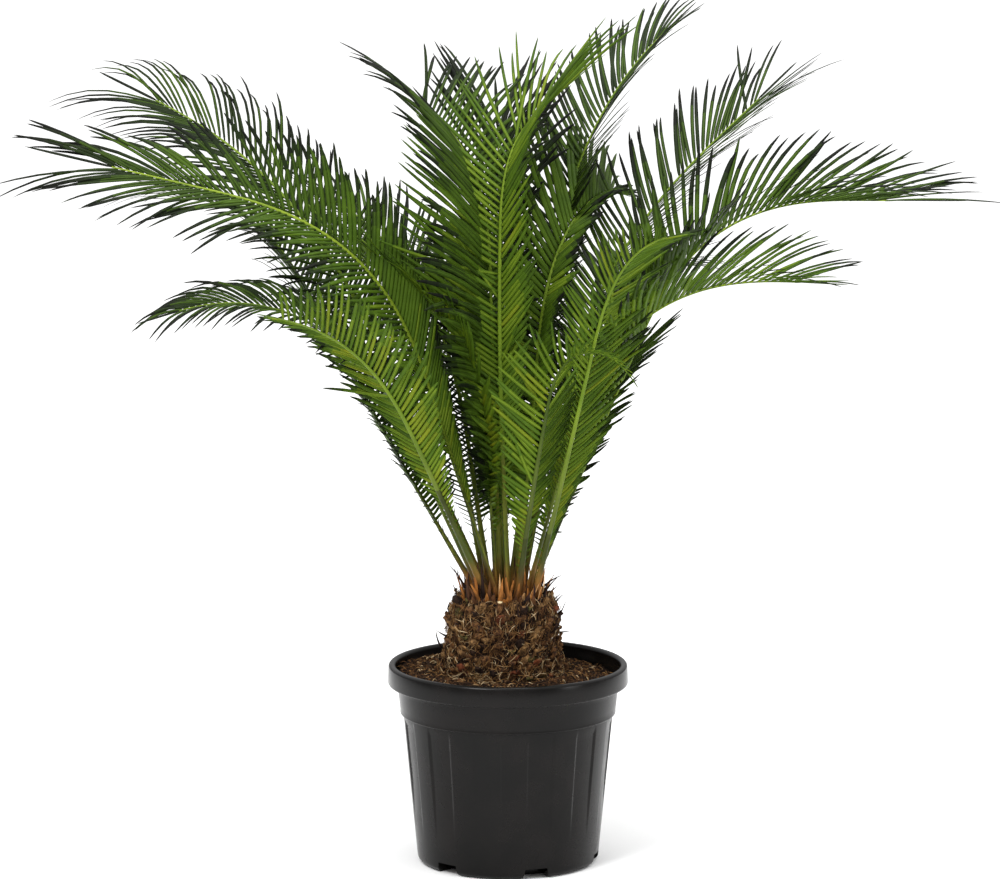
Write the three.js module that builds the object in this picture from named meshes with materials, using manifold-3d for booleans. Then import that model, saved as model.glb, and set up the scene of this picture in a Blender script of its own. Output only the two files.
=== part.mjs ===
// Sago palm (Cycas revoluta) in a round nursery pot.
// Millimetres, +Z up. The origin is the centre of the pot's flat underside, and -Y is the palm's front.
import * as THREE from "three";
import { mergeVertices } from "three/addons/utils/BufferGeometryUtils.js";
import Module from "manifold-3d";

// Clearance between touching solids.
const GAP = 0.3;

// Pot: a moulded tapering shell with a rolled rim, a smooth band under it and fluted sides.
const POT_HEIGHT = 252;
const POT_SIDES = 48;
const POT_WALL = 3;
const RIM_RADIUS = 151;
const RIM_WIDTH = 10;
const RIM_DEPTH = 26;
const RIM_ROUND = 4;
const BAND_DEPTH = 36;
const BAND_TOP_RADIUS = 139;
const BAND_FOOT_RADIUS = 135;
const BODY_TOP_RADIUS = 132;
const BODY_FOOT_RADIUS = 113.5;
const BODY_CORNER = 5;
const FLUTE_DEPTH = 1.6;
const FLUTE_FADE_FROM = 60;
const FLOOR_THICKNESS = 12;
const FOOT_RING_INNER = 86;
const CENTRE_PAD_RADIUS = 42;
const UNDERSIDE_RECESS = 4;
const NOTCHES = 6;
const NOTCH_WIDTH = 26;
const NOTCH_HEIGHT = 10;
const NOTCH_TURN = 48;
const FLUTE_TURN = -3;

// Soil: level where the trunk stands, falling to the pot's wall and lower on the right.
const SOIL_LEVEL = 242;
const SOIL_LEVEL_RADIUS = 92;
const SOIL_EDGE_DROP = 6;
const SOIL_SIDE_DROP = 6;

// Trunk: a short caudex, flared at its foot, clad in the stubs of old leaf bases.
const TRUNK_HEIGHT = 96;
const TRUNK_SIDES = 20;
const TRUNK_FOOT = { x: -9, radius: 71 };
const TRUNK_TOP = { x: -4.5, radius: 56 };
const TRUNK_FLARE = 5;
const STUBS = 76;
const STUB = { width: 19, length: 30, thickness: 9 };
const STUB_SINK = 9;
const GOLDEN_ANGLE = 137.508;

// Crown bracts: pointed scales that stand round the leaf stalks.
const BRACTS = 26;
const BRACT = { width: 12, length: 44, thickness: 5 };
const BRACT_RING = { inner: 51.5, outer: 55.5, height: 4 };

// Fronds: a stalk and midrib of three-sided section, with a slim tooth for each leaflet.
const STALK = { width: 9, depth: 7 };
const MIDRIB = { width: 6, depth: 4.4 };
const MIDRIB_TIP = { width: 2.4, depth: 1.8 };
const LEAFLET_PITCH = 15;
const LEAFLET_LENGTH = 132;
const LEAFLET_FIRST = 0.15;
const TIP_LEAFLET = 0.75;
const STALK_STEPS = 4;
const PATH_STEPS = 80;
const SPLIT_ARCH = 55;
const SHORTER = [1, 0.75, 0.5, 0.3];

// Each frond, the nearest to the palm's front first. seat is where its stalk stands on the trunk: the
// distance from the middle, and the heading there. Heading 0 is to the right and 90 to the back. lean is the
// stalk's angle from upright, and arch is what the midrib adds to it between the two shares of its length
// given by bend, while turn swings its heading. roll turns the blade about its midrib, fold raises both rows
// of leaflets, bare is the stalk's share of the length, leaf scales the leaflets, last is how long the
// endmost are for the longest, and angle is the leaflets' angle from the midrib at the blade's foot and end.
const FRONDS = {
  centre: {
    seat: [10, 309], heading: 158.6, lean: 3.4, arch: 56.6, bend: [0.66, 0.99], length: 657,
    turn: -118.6, roll: -15, bare: 0.2, leaf: 1.1, last: 1, angle: [62, 16],
  },
  left_long: {
    seat: [12.5, 233], heading: 182, lean: 18, arch: 58, bend: [0.33, 0.85], length: 792, turn: 5,
    roll: -42, fold: 20, last: 1.1,
  },
  front_left: {
    seat: [29, 226], heading: 220, lean: 29, arch: 50, bend: [0.42, 1.1], length: 522, roll: 20,
    fold: 13, bare: 0.25, leaf: 0.7, last: 0.65, angle: [72, 42],
  },
  front_middle: {
    seat: [28, 306], heading: 300, lean: 13, arch: 140, bend: [0.58, 1.08], length: 428, turn: 33,
    roll: -10, fold: 20, leaf: 0.8, last: 0.6, angle: [70, 32],
  },
  front_right: {
    seat: [41, 333], heading: 314.5, lean: 18, arch: 80, bend: [0.6, 1.2], length: 554, turn: -5,
    roll: -20, fold: 16, bare: 0.12, leaf: 0.8, last: 0.7, angle: [70, 36],
  },
  left_low: {
    seat: [27, 183], heading: 190, lean: 25, arch: 92, bend: [0.3, 1.24], length: 605, turn: 20,
    roll: -20,
  },
  back_left_long: {
    seat: [22, 150], heading: 158, lean: 27, arch: 48, bend: [0.32, 1.08], length: 819, turn: -19,
    roll: -30, last: 1.1,
  },
  right_low: {
    seat: [27, 350], heading: 342, lean: 16, arch: 75, bend: [0.29, 1.03], length: 602, roll: 12,
    fold: 36, last: 0.65, angle: [74, 22],
  },
  right_long: {
    seat: [31, 15], heading: 4.5, lean: 23.4, arch: 67.5, bend: [0.45, 0.95], length: 738, roll: 12,
    fold: 40, last: 1, angle: [74, 20],
  },
  back_right_long: {
    seat: [30, 46], heading: 23.9, lean: 12.2, arch: 49.2, bend: [0.15, 0.96], length: 758, turn: 24.2,
    roll: 5,
  },
  back_right_high: {
    seat: [33, 74], heading: 61, lean: 13, arch: 53, bend: [0.35, 1.1], length: 799, turn: -9,
    roll: -10, angle: [74, 12],
  },
  back_left_high: {
    seat: [13, 115], heading: 139, lean: 2.5, arch: 68, bend: [0.57, 0.96], length: 691, turn: -20,
    fold: 20, angle: [74, 20],
  },
  right_inner: {
    seat: [17, 20], heading: 31, lean: 6.3, arch: 110, bend: [0.45, 1.16], length: 619, turn: 36,
    roll: 10, fold: 30,
  },
  back_left_mid: {
    seat: [29, 128], heading: 130, lean: 13, arch: 56, bend: [0.25, 1], length: 600, fold: 20,
  },
  back_high: {
    seat: [22, 96], heading: 90.7, lean: 5.4, arch: 44.5, bend: [0.44, 1.06], length: 612, turn: 2.1,
  },
  left_inner: { seat: [8.5, 173], heading: 172, lean: 4, arch: 66, bend: [0.3, 1], length: 532 },
  back_low: { seat: [38, 102], heading: 95, lean: 22, arch: 76, bend: [0.2, 1], length: 652 },
  back_left_low: { seat: [40, 124], heading: 118, lean: 24, arch: 74, bend: [0.2, 1], length: 572 },
  back_right_low: { seat: [41, 58], heading: 64, lean: 22, arch: 74, bend: [0.2, 1], length: 632 },
  rear_left_low: {
    seat: [39, 148], heading: 163, lean: 32.7, arch: 67, bend: [0.61, 1.09], length: 667, turn: -22,
  },
  rear_right_low: {
    seat: [39, 30], heading: 55.1, lean: 28.6, arch: 28.6, bend: [0.28, 0.9], length: 380, turn: -1.8,
    angle: [74, 35],
  },
};
const FROND_DEFAULTS = { turn: 0, roll: 0, fold: 25, bare: 0.15, leaf: 1, last: 0.9, angle: [74, 16] };

const wasm = await Module();
wasm.setup();

const rad = THREE.MathUtils.degToRad;
const lerp = THREE.MathUtils.lerp;
const smoothstep = THREE.MathUtils.smoothstep;

// A seeded draw between 0 and 1.
function draw(seed) {
  return THREE.MathUtils.euclideanModulo(Math.sin(seed * 12.9898) * 43758.5453, 1);
}

// ---- Solids ----

function toSolid(geometry) {
  const bare = geometry.clone();
  bare.deleteAttribute("normal");
  bare.deleteAttribute("uv");
  const merged = mergeVertices(bare, 1e-3);
  return new wasm.Manifold(
    new wasm.Mesh({
      numProp: 3,
      vertProperties: merged.attributes.position.array,
      triVerts: new Uint32Array(merged.index.array),
    }),
  );
}

function toGeometry(solid) {
  const mesh = solid.getMesh();
  const geometry = new THREE.BufferGeometry();
  geometry.setAttribute("position", new THREE.BufferAttribute(new Float32Array(mesh.vertProperties), 3));
  geometry.setIndex(new THREE.BufferAttribute(new Uint32Array(mesh.triVerts), 1));
  geometry.computeVertexNormals();
  return geometry;
}

// A profile of [radius, height] pairs turned about +Z. Its outside runs upwards.
function turned(profile, sides) {
  const points = profile.map(([radius, height]) => new THREE.Vector2(radius, height));
  return new THREE.LatheGeometry(points, sides).rotateX(Math.PI / 2);
}

// Moves each vertex by a function of its place.
function reshape(geometry, move) {
  const position = geometry.attributes.position;
  const point = new THREE.Vector3();
  for (let i = 0; i < position.count; i++) {
    point.fromBufferAttribute(position, i);
    move(point);
    position.setXYZ(i, point.x, point.y, point.z);
  }
  return geometry;
}

function triangles(list) {
  const values = list.flat().flatMap((point) => [point.x, point.y, point.z]);
  const geometry = new THREE.BufferGeometry();
  geometry.setAttribute("position", new THREE.BufferAttribute(new Float32Array(values), 3));
  geometry.computeVertexNormals();
  return geometry;
}

// A flat pointed scale, with its foot at the origin and its point along +Z, broad in X.
function scaleSolid({ width, length, thickness }) {
  const geometry = new THREE.ConeGeometry(Math.SQRT1_2, length, 4).rotateY(Math.PI / 4);
  geometry.rotateX(Math.PI / 2).translate(0, 0, length / 2);
  return geometry.scale(width, thickness, 1);
}

// ---- Pot and soil ----

const RIM_FOOT = POT_HEIGHT - RIM_DEPTH;
const BAND_FOOT = RIM_FOOT - BAND_DEPTH;

// The body's outer radius at a height, before fluting.
function bodyRadius(height) {
  return lerp(BODY_FOOT_RADIUS, BODY_TOP_RADIUS, height / BAND_FOOT);
}

// The wall's inner side as [radius, height] pairs, from the floor up to the rim.
const INNER_WALL = [
  [bodyRadius(FLOOR_THICKNESS) - POT_WALL - FLUTE_DEPTH, FLOOR_THICKNESS],
  [bodyRadius(BAND_FOOT - 4) - POT_WALL - FLUTE_DEPTH, BAND_FOOT - 4],
  [BAND_FOOT_RADIUS - POT_WALL + 1, BAND_FOOT + 10],
  [BAND_TOP_RADIUS - POT_WALL, RIM_FOOT],
  [RIM_RADIUS - RIM_WIDTH, RIM_FOOT + 14],
  [RIM_RADIUS - RIM_WIDTH, POT_HEIGHT - RIM_ROUND],
];

function innerRadius(height) {
  const next = INNER_WALL.findIndex((corner) => corner[1] > height);
  const [low, high] = [INNER_WALL[next - 1], INNER_WALL[next]];
  return lerp(low[0], high[0], (height - low[1]) / (high[1] - low[1]));
}

function potGeometry() {
  const crest = RIM_RADIUS - RIM_WIDTH / 2;
  const profile = [
    [0, 0],
    [CENTRE_PAD_RADIUS, 0],
    [CENTRE_PAD_RADIUS + 2, UNDERSIDE_RECESS],
    [FOOT_RING_INNER, UNDERSIDE_RECESS],
    [FOOT_RING_INNER + 2, 0],
    [BODY_FOOT_RADIUS - BODY_CORNER, 0],
    [BODY_FOOT_RADIUS - 1.5, 2],
    [bodyRadius(BODY_CORNER), BODY_CORNER],
    [bodyRadius(FLUTE_FADE_FROM), FLUTE_FADE_FROM],
    [bodyRadius(BAND_FOOT - 4), BAND_FOOT - 4],
    [BAND_FOOT_RADIUS, BAND_FOOT],
    [BAND_TOP_RADIUS, RIM_FOOT],
    [RIM_RADIUS - RIM_ROUND, RIM_FOOT],
    [RIM_RADIUS, RIM_FOOT + RIM_ROUND],
    [RIM_RADIUS, POT_HEIGHT - RIM_ROUND],
    [crest + 1, POT_HEIGHT],
    [crest - 2, POT_HEIGHT],
    ...INNER_WALL.toReversed(),
    [0, FLOOR_THICKNESS],
  ];
  const shell = reshape(turned(profile, POT_SIDES), fluted).rotateZ(rad(FLUTE_TURN));
  let solid = toSolid(shell);
  for (let i = 0; i < NOTCHES; i++) {
    const notch = new THREE.BoxGeometry(BODY_FOOT_RADIUS, NOTCH_WIDTH, 2 * NOTCH_HEIGHT);
    notch.translate(FOOT_RING_INNER + BODY_FOOT_RADIUS / 2, 0, 0);
    notch.rotateZ(rad(NOTCH_TURN + (360 * i) / NOTCHES));
    solid = solid.subtract(toSolid(notch));
  }
  return toGeometry(solid);
}

// Every second edge of the body is drawn in, so its sides are fluted under the band.
function fluted(point) {
  const radius = Math.hypot(point.x, point.y);
  const outside = radius > bodyRadius(point.z) - 0.5 && point.z >= FLUTE_FADE_FROM && point.z < BAND_FOOT;
  if (!outside) return;
  const side = Math.round((Math.atan2(point.y, point.x) / (2 * Math.PI)) * POT_SIDES);
  if (side % 2 === 0) return;
  const depth = point.z > FLUTE_FADE_FROM + 1 ? FLUTE_DEPTH : FLUTE_DEPTH / 3;
  point.multiply(new THREE.Vector3(1 - depth / radius, 1 - depth / radius, 1));
}

function soilGeometry() {
  const edge = SOIL_LEVEL - SOIL_EDGE_DROP;
  const foot = FLOOR_THICKNESS + GAP;
  const side = INNER_WALL.slice(1, 4).map(([radius, height]) => [radius - 2 * GAP, height]);
  const profile = [
    [0, foot],
    [innerRadius(foot) - 2 * GAP, foot],
    ...side,
    [innerRadius(edge), edge],
    [SOIL_LEVEL_RADIUS + 18, edge + SOIL_EDGE_DROP / 3],
    [SOIL_LEVEL_RADIUS, SOIL_LEVEL],
    [0, SOIL_LEVEL],
  ];
  const soil = reshape(turned(profile, POT_SIDES), (point) => {
    const radius = Math.hypot(point.x, point.y);
    if (point.z <= RIM_FOOT || radius <= SOIL_LEVEL_RADIUS + 1) return;
    point.z -= (SOIL_SIDE_DROP * point.x) / radius;
    if (radius < BAND_TOP_RADIUS - POT_WALL) return;
    const scale = (innerRadius(point.z) - 3 * GAP) / radius;
    point.multiply(new THREE.Vector3(scale, scale, 1));
  });
  return soil.rotateZ(rad(FLUTE_TURN));
}

// ---- Trunk ----

const TRUNK_FOOT_HEIGHT = SOIL_LEVEL + GAP;
const TRUNK_TOP_HEIGHT = TRUNK_FOOT_HEIGHT + TRUNK_HEIGHT;

// The trunk's radius and middle at a share of its height.
function trunkAt(share) {
  const flare = TRUNK_FLARE * (1 - share) ** 4;
  const shoulder = 5 * smoothstep(share, 0.3, 0.8) * (1 - smoothstep(share, 0.85, 1));
  return {
    x: lerp(TRUNK_FOOT.x, TRUNK_TOP.x, share),
    radius: lerp(TRUNK_FOOT.radius, TRUNK_TOP.radius, share) + flare + shoulder,
  };
}

function trunkGeometry() {
  const rows = 8;
  const profile = [[0, 0]];
  for (let row = 0; row <= rows; row++) {
    profile.push([trunkAt(row / rows).radius, (TRUNK_HEIGHT * row) / rows]);
  }
  profile.push([0, TRUNK_HEIGHT]);
  const core = reshape(turned(profile, TRUNK_SIDES), (point) => {
    point.x += trunkAt(point.z / TRUNK_HEIGHT).x;
  });
  const stubs = [];
  for (let i = 0; i < STUBS; i++) {
    const share = 0.06 + (0.82 * (i + 0.5)) / STUBS;
    const { x, radius } = trunkAt(share);
    const outward = lerp(62, 40, share) + 10 * (draw(i) - 0.5);
    const stub = scaleSolid(STUB).rotateX(rad(outward)).rotateZ(rad(90));
    stub.translate(radius - STUB_SINK, 0, 0).rotateZ(rad(i * GOLDEN_ANGLE));
    stub.translate(x, 0, TRUNK_HEIGHT * share - 8);
    stubs.push(toSolid(stub));
  }
  const clad = toSolid(core).add(wasm.Manifold.union(stubs));
  const above = new THREE.BoxGeometry(4 * TRUNK_FOOT.radius, 4 * TRUNK_FOOT.radius, TRUNK_HEIGHT);
  above.translate(0, 0, TRUNK_HEIGHT / 2);
  const trimmed = clad.intersect(toSolid(above));
  return toGeometry(trimmed).translate(0, 0, TRUNK_FOOT_HEIGHT);
}

// ---- Fronds ----

// The midrib's points, each with its directions along, across and above the blade.
function frondPath(frond) {
  const seat = rad(frond.seat[1]);
  const point = new THREE.Vector3(
    TRUNK_TOP.x + frond.seat[0] * Math.cos(seat),
    frond.seat[0] * Math.sin(seat),
    TRUNK_TOP_HEIGHT + GAP,
  );
  const path = [];
  for (let step = 0; step <= PATH_STEPS; step++) {
    const share = step / PATH_STEPS;
    const tilt = rad(frond.lean + frond.arch * smoothstep(share, frond.bend[0], frond.bend[1]));
    const heading = rad(frond.heading + frond.turn * share);
    const along = new THREE.Vector3(
      Math.sin(tilt) * Math.cos(heading),
      Math.sin(tilt) * Math.sin(heading),
      Math.cos(tilt),
    );
    const roll = rad(frond.roll) * smoothstep(share, 0, 0.4);
    const across = new THREE.Vector3(-Math.sin(heading), Math.cos(heading), 0).applyAxisAngle(along, roll);
    const above = new THREE.Vector3().crossVectors(along, across);
    path.push({ point: point.clone(), along, across, above });
    point.addScaledVector(along, frond.length / PATH_STEPS);
  }
  return path;
}

function pathAt(path, share) {
  const place = share * PATH_STEPS;
  const index = Math.min(Math.floor(place), PATH_STEPS - 1);
  const part = place - index;
  const mixed = {};
  for (const key of ["point", "along", "across", "above"]) {
    mixed[key] = path[index][key].clone().lerp(path[index + 1][key], part);
  }
  return mixed;
}

// The three corners of the stalk or midrib: two upper edges and the keel.
function section(frond, path, share) {
  const { point, along, across, above } = pathAt(path, share);
  const onStalk = share < frond.bare;
  const part = onStalk ? share / frond.bare : (share - frond.bare) / (1 - frond.bare);
  const [foot, end] = onStalk ? [STALK, MIDRIB] : [MIDRIB, MIDRIB_TIP];
  const width = lerp(foot.width, end.width, part);
  const depth = lerp(foot.depth, end.depth, part);
  const corners = {
    left: point.clone().addScaledVector(across, width / 2),
    right: point.clone().addScaledVector(across, -width / 2),
    keel: point.clone().addScaledVector(above, -depth),
  };
  if (share === 0) {
    for (const corner of Object.values(corners)) {
      corner.addScaledVector(along, (point.z - corner.z) / along.z);
    }
  }
  return { ...corners, along };
}

// The length of a frond's longest leaflets.
function fullLeaflet(frond) {
  return LEAFLET_LENGTH * frond.leaf * Math.min(1, frond.length / 700 + 0.1);
}

// Where the leaflet that grows from the middle of a stretch of the midrib ends.
function leafletTip(frond, path, share, side, size) {
  const { point, along, across, above } = pathAt(path, share);
  const blade = (share - frond.bare) / (1 - frond.bare);
  const angle = rad(lerp(frond.angle[0], frond.angle[1], blade ** 2));
  const rise = Math.min(1, LEAFLET_FIRST + 2 * blade);
  const fall = 1 - (1 - frond.last) * Math.max(0, (blade - 0.6) / 0.4) ** 2;
  const length = fullLeaflet(frond) * rise * fall * size;
  const out = new THREE.Vector3().addScaledVector(across, side * Math.cos(rad(frond.fold)));
  out.addScaledVector(above, Math.sin(rad(frond.fold)));
  point.addScaledVector(along, length * Math.cos(angle));
  return point.addScaledVector(out, length * Math.sin(angle));
}

// The faces of one row's side of a stretch of midrib: flat, or drawn out to a leaflet's tip.
function sideFaces(lower, upper, edge, tip) {
  const quad = [lower.keel, lower[edge], upper[edge], upper.keel];
  if (edge === "right") quad.reverse();
  if (!tip) return [[quad[0], quad[1], quad[2]], [quad[0], quad[2], quad[3]]];
  return quad.map((corner, i) => [corner, quad[(i + 1) % 4], tip]);
}

const rayHit = new THREE.Vector3();
const ray = new THREE.Ray();

// Whether a triangle's edges pass through another triangle.
function pierces(edges, face) {
  for (let i = 0; i < 3; i++) {
    const from = edges[i];
    ray.origin.copy(from);
    ray.direction.subVectors(edges[(i + 1) % 3], from);
    const reach = ray.direction.length();
    ray.direction.normalize();
    const hit = ray.intersectTriangle(face[0], face[1], face[2], false, rayHit);
    if (hit && hit.distanceTo(from) <= reach) return true;
  }
  return false;
}

function withBox(faces, owner) {
  return faces.map((face) => {
    const box = new THREE.Box3().setFromPoints(face).expandByScalar(GAP);
    return { face, owner, box };
  });
}

// Whether the faces cross any face of another owner.
function blocked(faces, owner, placed) {
  const candidates = withBox(faces, owner);
  return placed.some((other) =>
    other.owner !== owner &&
    candidates.some((one) =>
      one.box.intersectsBox(other.box) && (pierces(one.face, other.face) || pierces(other.face, one.face)),
    ),
  );
}

// The midrib stations of a frond: even steps up the stalk, then one for each pair of leaflets.
function stations(frond) {
  const shares = [];
  for (let i = 0; i < STALK_STEPS; i++) shares.push((frond.bare * i) / STALK_STEPS);
  const pairs = Math.round((frond.length * (1 - frond.bare)) / LEAFLET_PITCH);
  for (let i = 0; i <= pairs; i++) shares.push(lerp(frond.bare, 1, i / pairs));
  return shares;
}

function midribFaces(frond, path) {
  const sections = stations(frond).map((share) => section(frond, path, share));
  const faces = [];
  for (let i = 1; i < sections.length; i++) {
    const [lower, upper] = [sections[i - 1], sections[i]];
    faces.push(...sideFaces(lower, upper, "left", null), ...sideFaces(lower, upper, "right", null));
    faces.push([lower.left, lower.right, upper.right], [lower.left, upper.right, upper.left]);
  }
  return [...faces, ...pointFaces(frond, path, sections.at(-1))];
}

// The single leaflet that ends a midrib.
function pointFaces(frond, path, { left, right, keel, along }) {
  const reach = TIP_LEAFLET * frond.last * fullLeaflet(frond);
  const point = path[PATH_STEPS].point.clone().addScaledVector(along, reach);
  return [[left, right, point], [right, keel, point], [keel, left, point]];
}

// Each leaflet's tip, or null where the leaflet would touch another frond even when it is short.
function placeLeaflets(frond, path, shares, placed) {
  const tips = { left: [], right: [] };
  for (let i = 1; i < shares.length; i++) {
    const [from, to] = [shares[i - 1], shares[i]];
    for (const [edge, side] of [["left", 1], ["right", -1]]) {
      let tip = null;
      if (i > STALK_STEPS) {
        const [lower, upper] = [section(frond, path, from), section(frond, path, to)];
        for (const size of SHORTER) {
          const reach = leafletTip(frond, path, (from + to) / 2, side, size);
          const faces = sideFaces(lower, upper, edge, reach);
          if (blocked(faces, frond.name, placed)) continue;
          placed.push(...withBox(faces, frond.name));
          tip = reach;
          break;
        }
      }
      tips[edge].push(tip);
    }
  }
  return tips;
}

// One closed blade between two stations, with a flat face at its foot and a point or a flat face at its end.
function blade(frond, path, shares, tips, first, last) {
  const faces = [];
  let lower = section(frond, path, shares[first]);
  if (first > 0) {
    for (const corner of [lower.left, lower.right, lower.keel]) corner.addScaledVector(lower.along, GAP);
  }
  faces.push([lower.left, lower.keel, lower.right]);
  for (let i = first + 1; i <= last; i++) {
    const upper = section(frond, path, shares[i]);
    faces.push([lower.left, lower.right, upper.right], [lower.left, upper.right, upper.left]);
    faces.push(...sideFaces(lower, upper, "left", tips.left[i - 1]));
    faces.push(...sideFaces(lower, upper, "right", tips.right[i - 1]));
    lower = upper;
  }
  if (last < shares.length - 1) {
    faces.push([lower.left, lower.right, lower.keel]);
    return triangles(faces);
  }
  return triangles([...faces, ...pointFaces(frond, path, lower)]);
}

// A frond that arches far is two solids, parted in the middle of its bend.
function frondPieces(frond, path, placed) {
  const shares = stations(frond);
  const tips = placeLeaflets(frond, path, shares, placed);
  const end = shares.length - 1;
  const name = "frond_" + frond.name;
  if (frond.arch <= SPLIT_ARCH) return [{ name, geometry: blade(frond, path, shares, tips, 0, end) }];
  const middle = (frond.bend[0] + Math.min(frond.bend[1], 1)) / 2;
  const split = shares.findIndex((share) => share >= middle);
  return [
    { name, geometry: blade(frond, path, shares, tips, 0, split) },
    { name: name + "_end", geometry: blade(frond, path, shares, tips, split, end) },
  ];
}

// ---- Crown bracts ----

// A low ring on the trunk's top with a scale wherever no stalk stands in its way.
function bractsGeometry(placed) {
  const { inner, outer, height } = BRACT_RING;
  const profile = [[inner, 0], [outer, 0], [outer, height], [inner, height], [inner, 0]];
  const ring = turned(profile, 2 * TRUNK_SIDES);
  const solids = [toSolid(ring)];
  for (let i = 0; i < BRACTS; i++) {
    const bract = scaleSolid({ ...BRACT, length: BRACT.length * (0.7 + 0.5 * draw(i + 40)) });
    bract.rotateX(rad(7 + 14 * draw(i + 80))).rotateZ(rad(90));
    bract.translate((inner + outer) / 2 + 0.5, 0, 1).rotateZ(rad((360 * (i + 0.4 * draw(i))) / BRACTS));
    const corners = bract.toNonIndexed().attributes.position;
    const faces = [];
    for (let k = 0; k < corners.count; k += 3) {
      const face = [0, 1, 2].map((j) => new THREE.Vector3().fromBufferAttribute(corners, k + j));
      faces.push(face.map((point) => point.add(new THREE.Vector3(TRUNK_TOP.x, 0, TRUNK_TOP_HEIGHT + GAP))));
    }
    if (!blocked(faces, "bracts", placed)) solids.push(toSolid(bract));
  }
  const above = new THREE.BoxGeometry(300, 300, 200).translate(0, 0, 100);
  const crown = wasm.Manifold.union(solids).intersect(toSolid(above));
  return toGeometry(crown).translate(TRUNK_TOP.x, 0, TRUNK_TOP_HEIGHT + GAP);
}

// ---- Assembly ----

const potPlastic = new THREE.MeshStandardMaterial({ color: 0x24262a, roughness: 0.5, metalness: 0 });
const pottingSoil = new THREE.MeshStandardMaterial({ color: 0x4a3324, roughness: 1, metalness: 0 });
const bark = new THREE.MeshStandardMaterial({ color: 0x6a4a2e, roughness: 0.95, metalness: 0 });
const bractBrown = new THREE.MeshStandardMaterial({ color: 0xa8713c, roughness: 0.9, metalness: 0 });
const leafGreen = new THREE.MeshStandardMaterial({ color: 0x5f7f2a, roughness: 0.55, metalness: 0 });

const palm = new THREE.Group();

function addMesh(name, geometry, material) {
  const mesh = new THREE.Mesh(geometry, material);
  mesh.name = name;
  palm.add(mesh);
}

addMesh("pot", potGeometry(), potPlastic);
addMesh("soil", soilGeometry(), pottingSoil);
addMesh("trunk", trunkGeometry(), bark);

const fronds = Object.entries(FRONDS).map(([name, row]) => ({ name, ...FROND_DEFAULTS, ...row }));
const paths = new Map(fronds.map((frond) => [frond.name, frondPath(frond)]));
const placed = fronds.flatMap((frond) => withBox(midribFaces(frond, paths.get(frond.name)), frond.name));
for (const frond of fronds) {
  for (const { name, geometry } of frondPieces(frond, paths.get(frond.name), placed)) {
    addMesh(name, geometry, leafGreen);
  }
}
addMesh("crown_bracts", bractsGeometry(placed), bractBrown);

export default palm;
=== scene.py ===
# A young sago palm in a round black nursery pot: its looks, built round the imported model.
# The dictionaries hold millimetres and degrees, and the meshes metres.
import math

import bmesh
import bpy
import numpy as np
from mathutils import Matrix, Vector, noise


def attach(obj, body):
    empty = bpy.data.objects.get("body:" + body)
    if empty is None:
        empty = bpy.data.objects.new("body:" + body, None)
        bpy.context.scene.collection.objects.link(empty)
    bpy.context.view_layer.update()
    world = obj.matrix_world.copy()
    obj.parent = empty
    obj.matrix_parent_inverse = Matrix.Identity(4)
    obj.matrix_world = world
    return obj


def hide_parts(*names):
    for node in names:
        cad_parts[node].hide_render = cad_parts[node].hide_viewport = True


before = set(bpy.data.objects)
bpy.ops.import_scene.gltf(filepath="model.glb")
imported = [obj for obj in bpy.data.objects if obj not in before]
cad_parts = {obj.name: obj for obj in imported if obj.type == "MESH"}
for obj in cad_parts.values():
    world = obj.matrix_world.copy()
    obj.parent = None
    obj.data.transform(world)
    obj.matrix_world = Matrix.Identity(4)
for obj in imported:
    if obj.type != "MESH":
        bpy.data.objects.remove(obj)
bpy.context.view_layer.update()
metres = 0.001
goldenAngle = math.radians(137.508)
print("frame loaded:", len(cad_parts), "nodes")


# A hex colour in sRGB as linear values.
def linear(hexColour):
    channels = [int(hexColour[i:i + 2], 16) / 255 for i in (1, 3, 5)]
    return [c / 12.92 if c <= 0.04045 else ((c + 0.055) / 1.055) ** 2.4 for c in channels] + [1]


def mix(a, b, share):
    return a + (b - a) * share


def smoothstep(value, low, high):
    share = np.clip((value - low) / (high - low), 0, 1)
    return share * share * (3 - 2 * share)


def unit(rows):
    return rows / np.linalg.norm(rows, axis=-1, keepdims=True)


# The number of one of a piece's materials.
def numberOf(materials, name):
    return list(materials).index(name)


# Adds a node, sets its properties, fills or links its inputs, and gives one of its outputs.
def addNode(material, kind, inputs=None, out=0, **settings):
    tree = material.node_tree
    node = tree.nodes.new(kind)
    for key, value in settings.items():
        setattr(node, key, value)
    for key, value in (inputs or {}).items():
        if isinstance(value, bpy.types.NodeSocket):
            tree.links.new(value, node.inputs[key])
        else:
            node.inputs[key].default_value = value
    return node.outputs[out]


# Places a finished piece: its material, what it rides on and which nodes it stands for.
def finishPiece(obj, materials, nodes, smooth=True):
    for material in materials:
        obj.data.materials.append(material)
    if smooth:
        obj.data.polygons.foreach_set("use_smooth", [True] * len(obj.data.polygons))
    if obj.name not in bpy.context.scene.collection.objects:
        bpy.context.scene.collection.objects.link(obj)
    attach(obj, "root")
    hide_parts(*nodes)


# A mesh object in metres from a bmesh in millimetres.
def objectFromBmesh(bm, name):
    bmesh.ops.scale(bm, vec=(metres,) * 3, verts=bm.verts)
    mesh = bpy.data.meshes.new(name)
    bm.to_mesh(mesh)
    bm.free()
    return bpy.data.objects.new(name, mesh)


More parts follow.
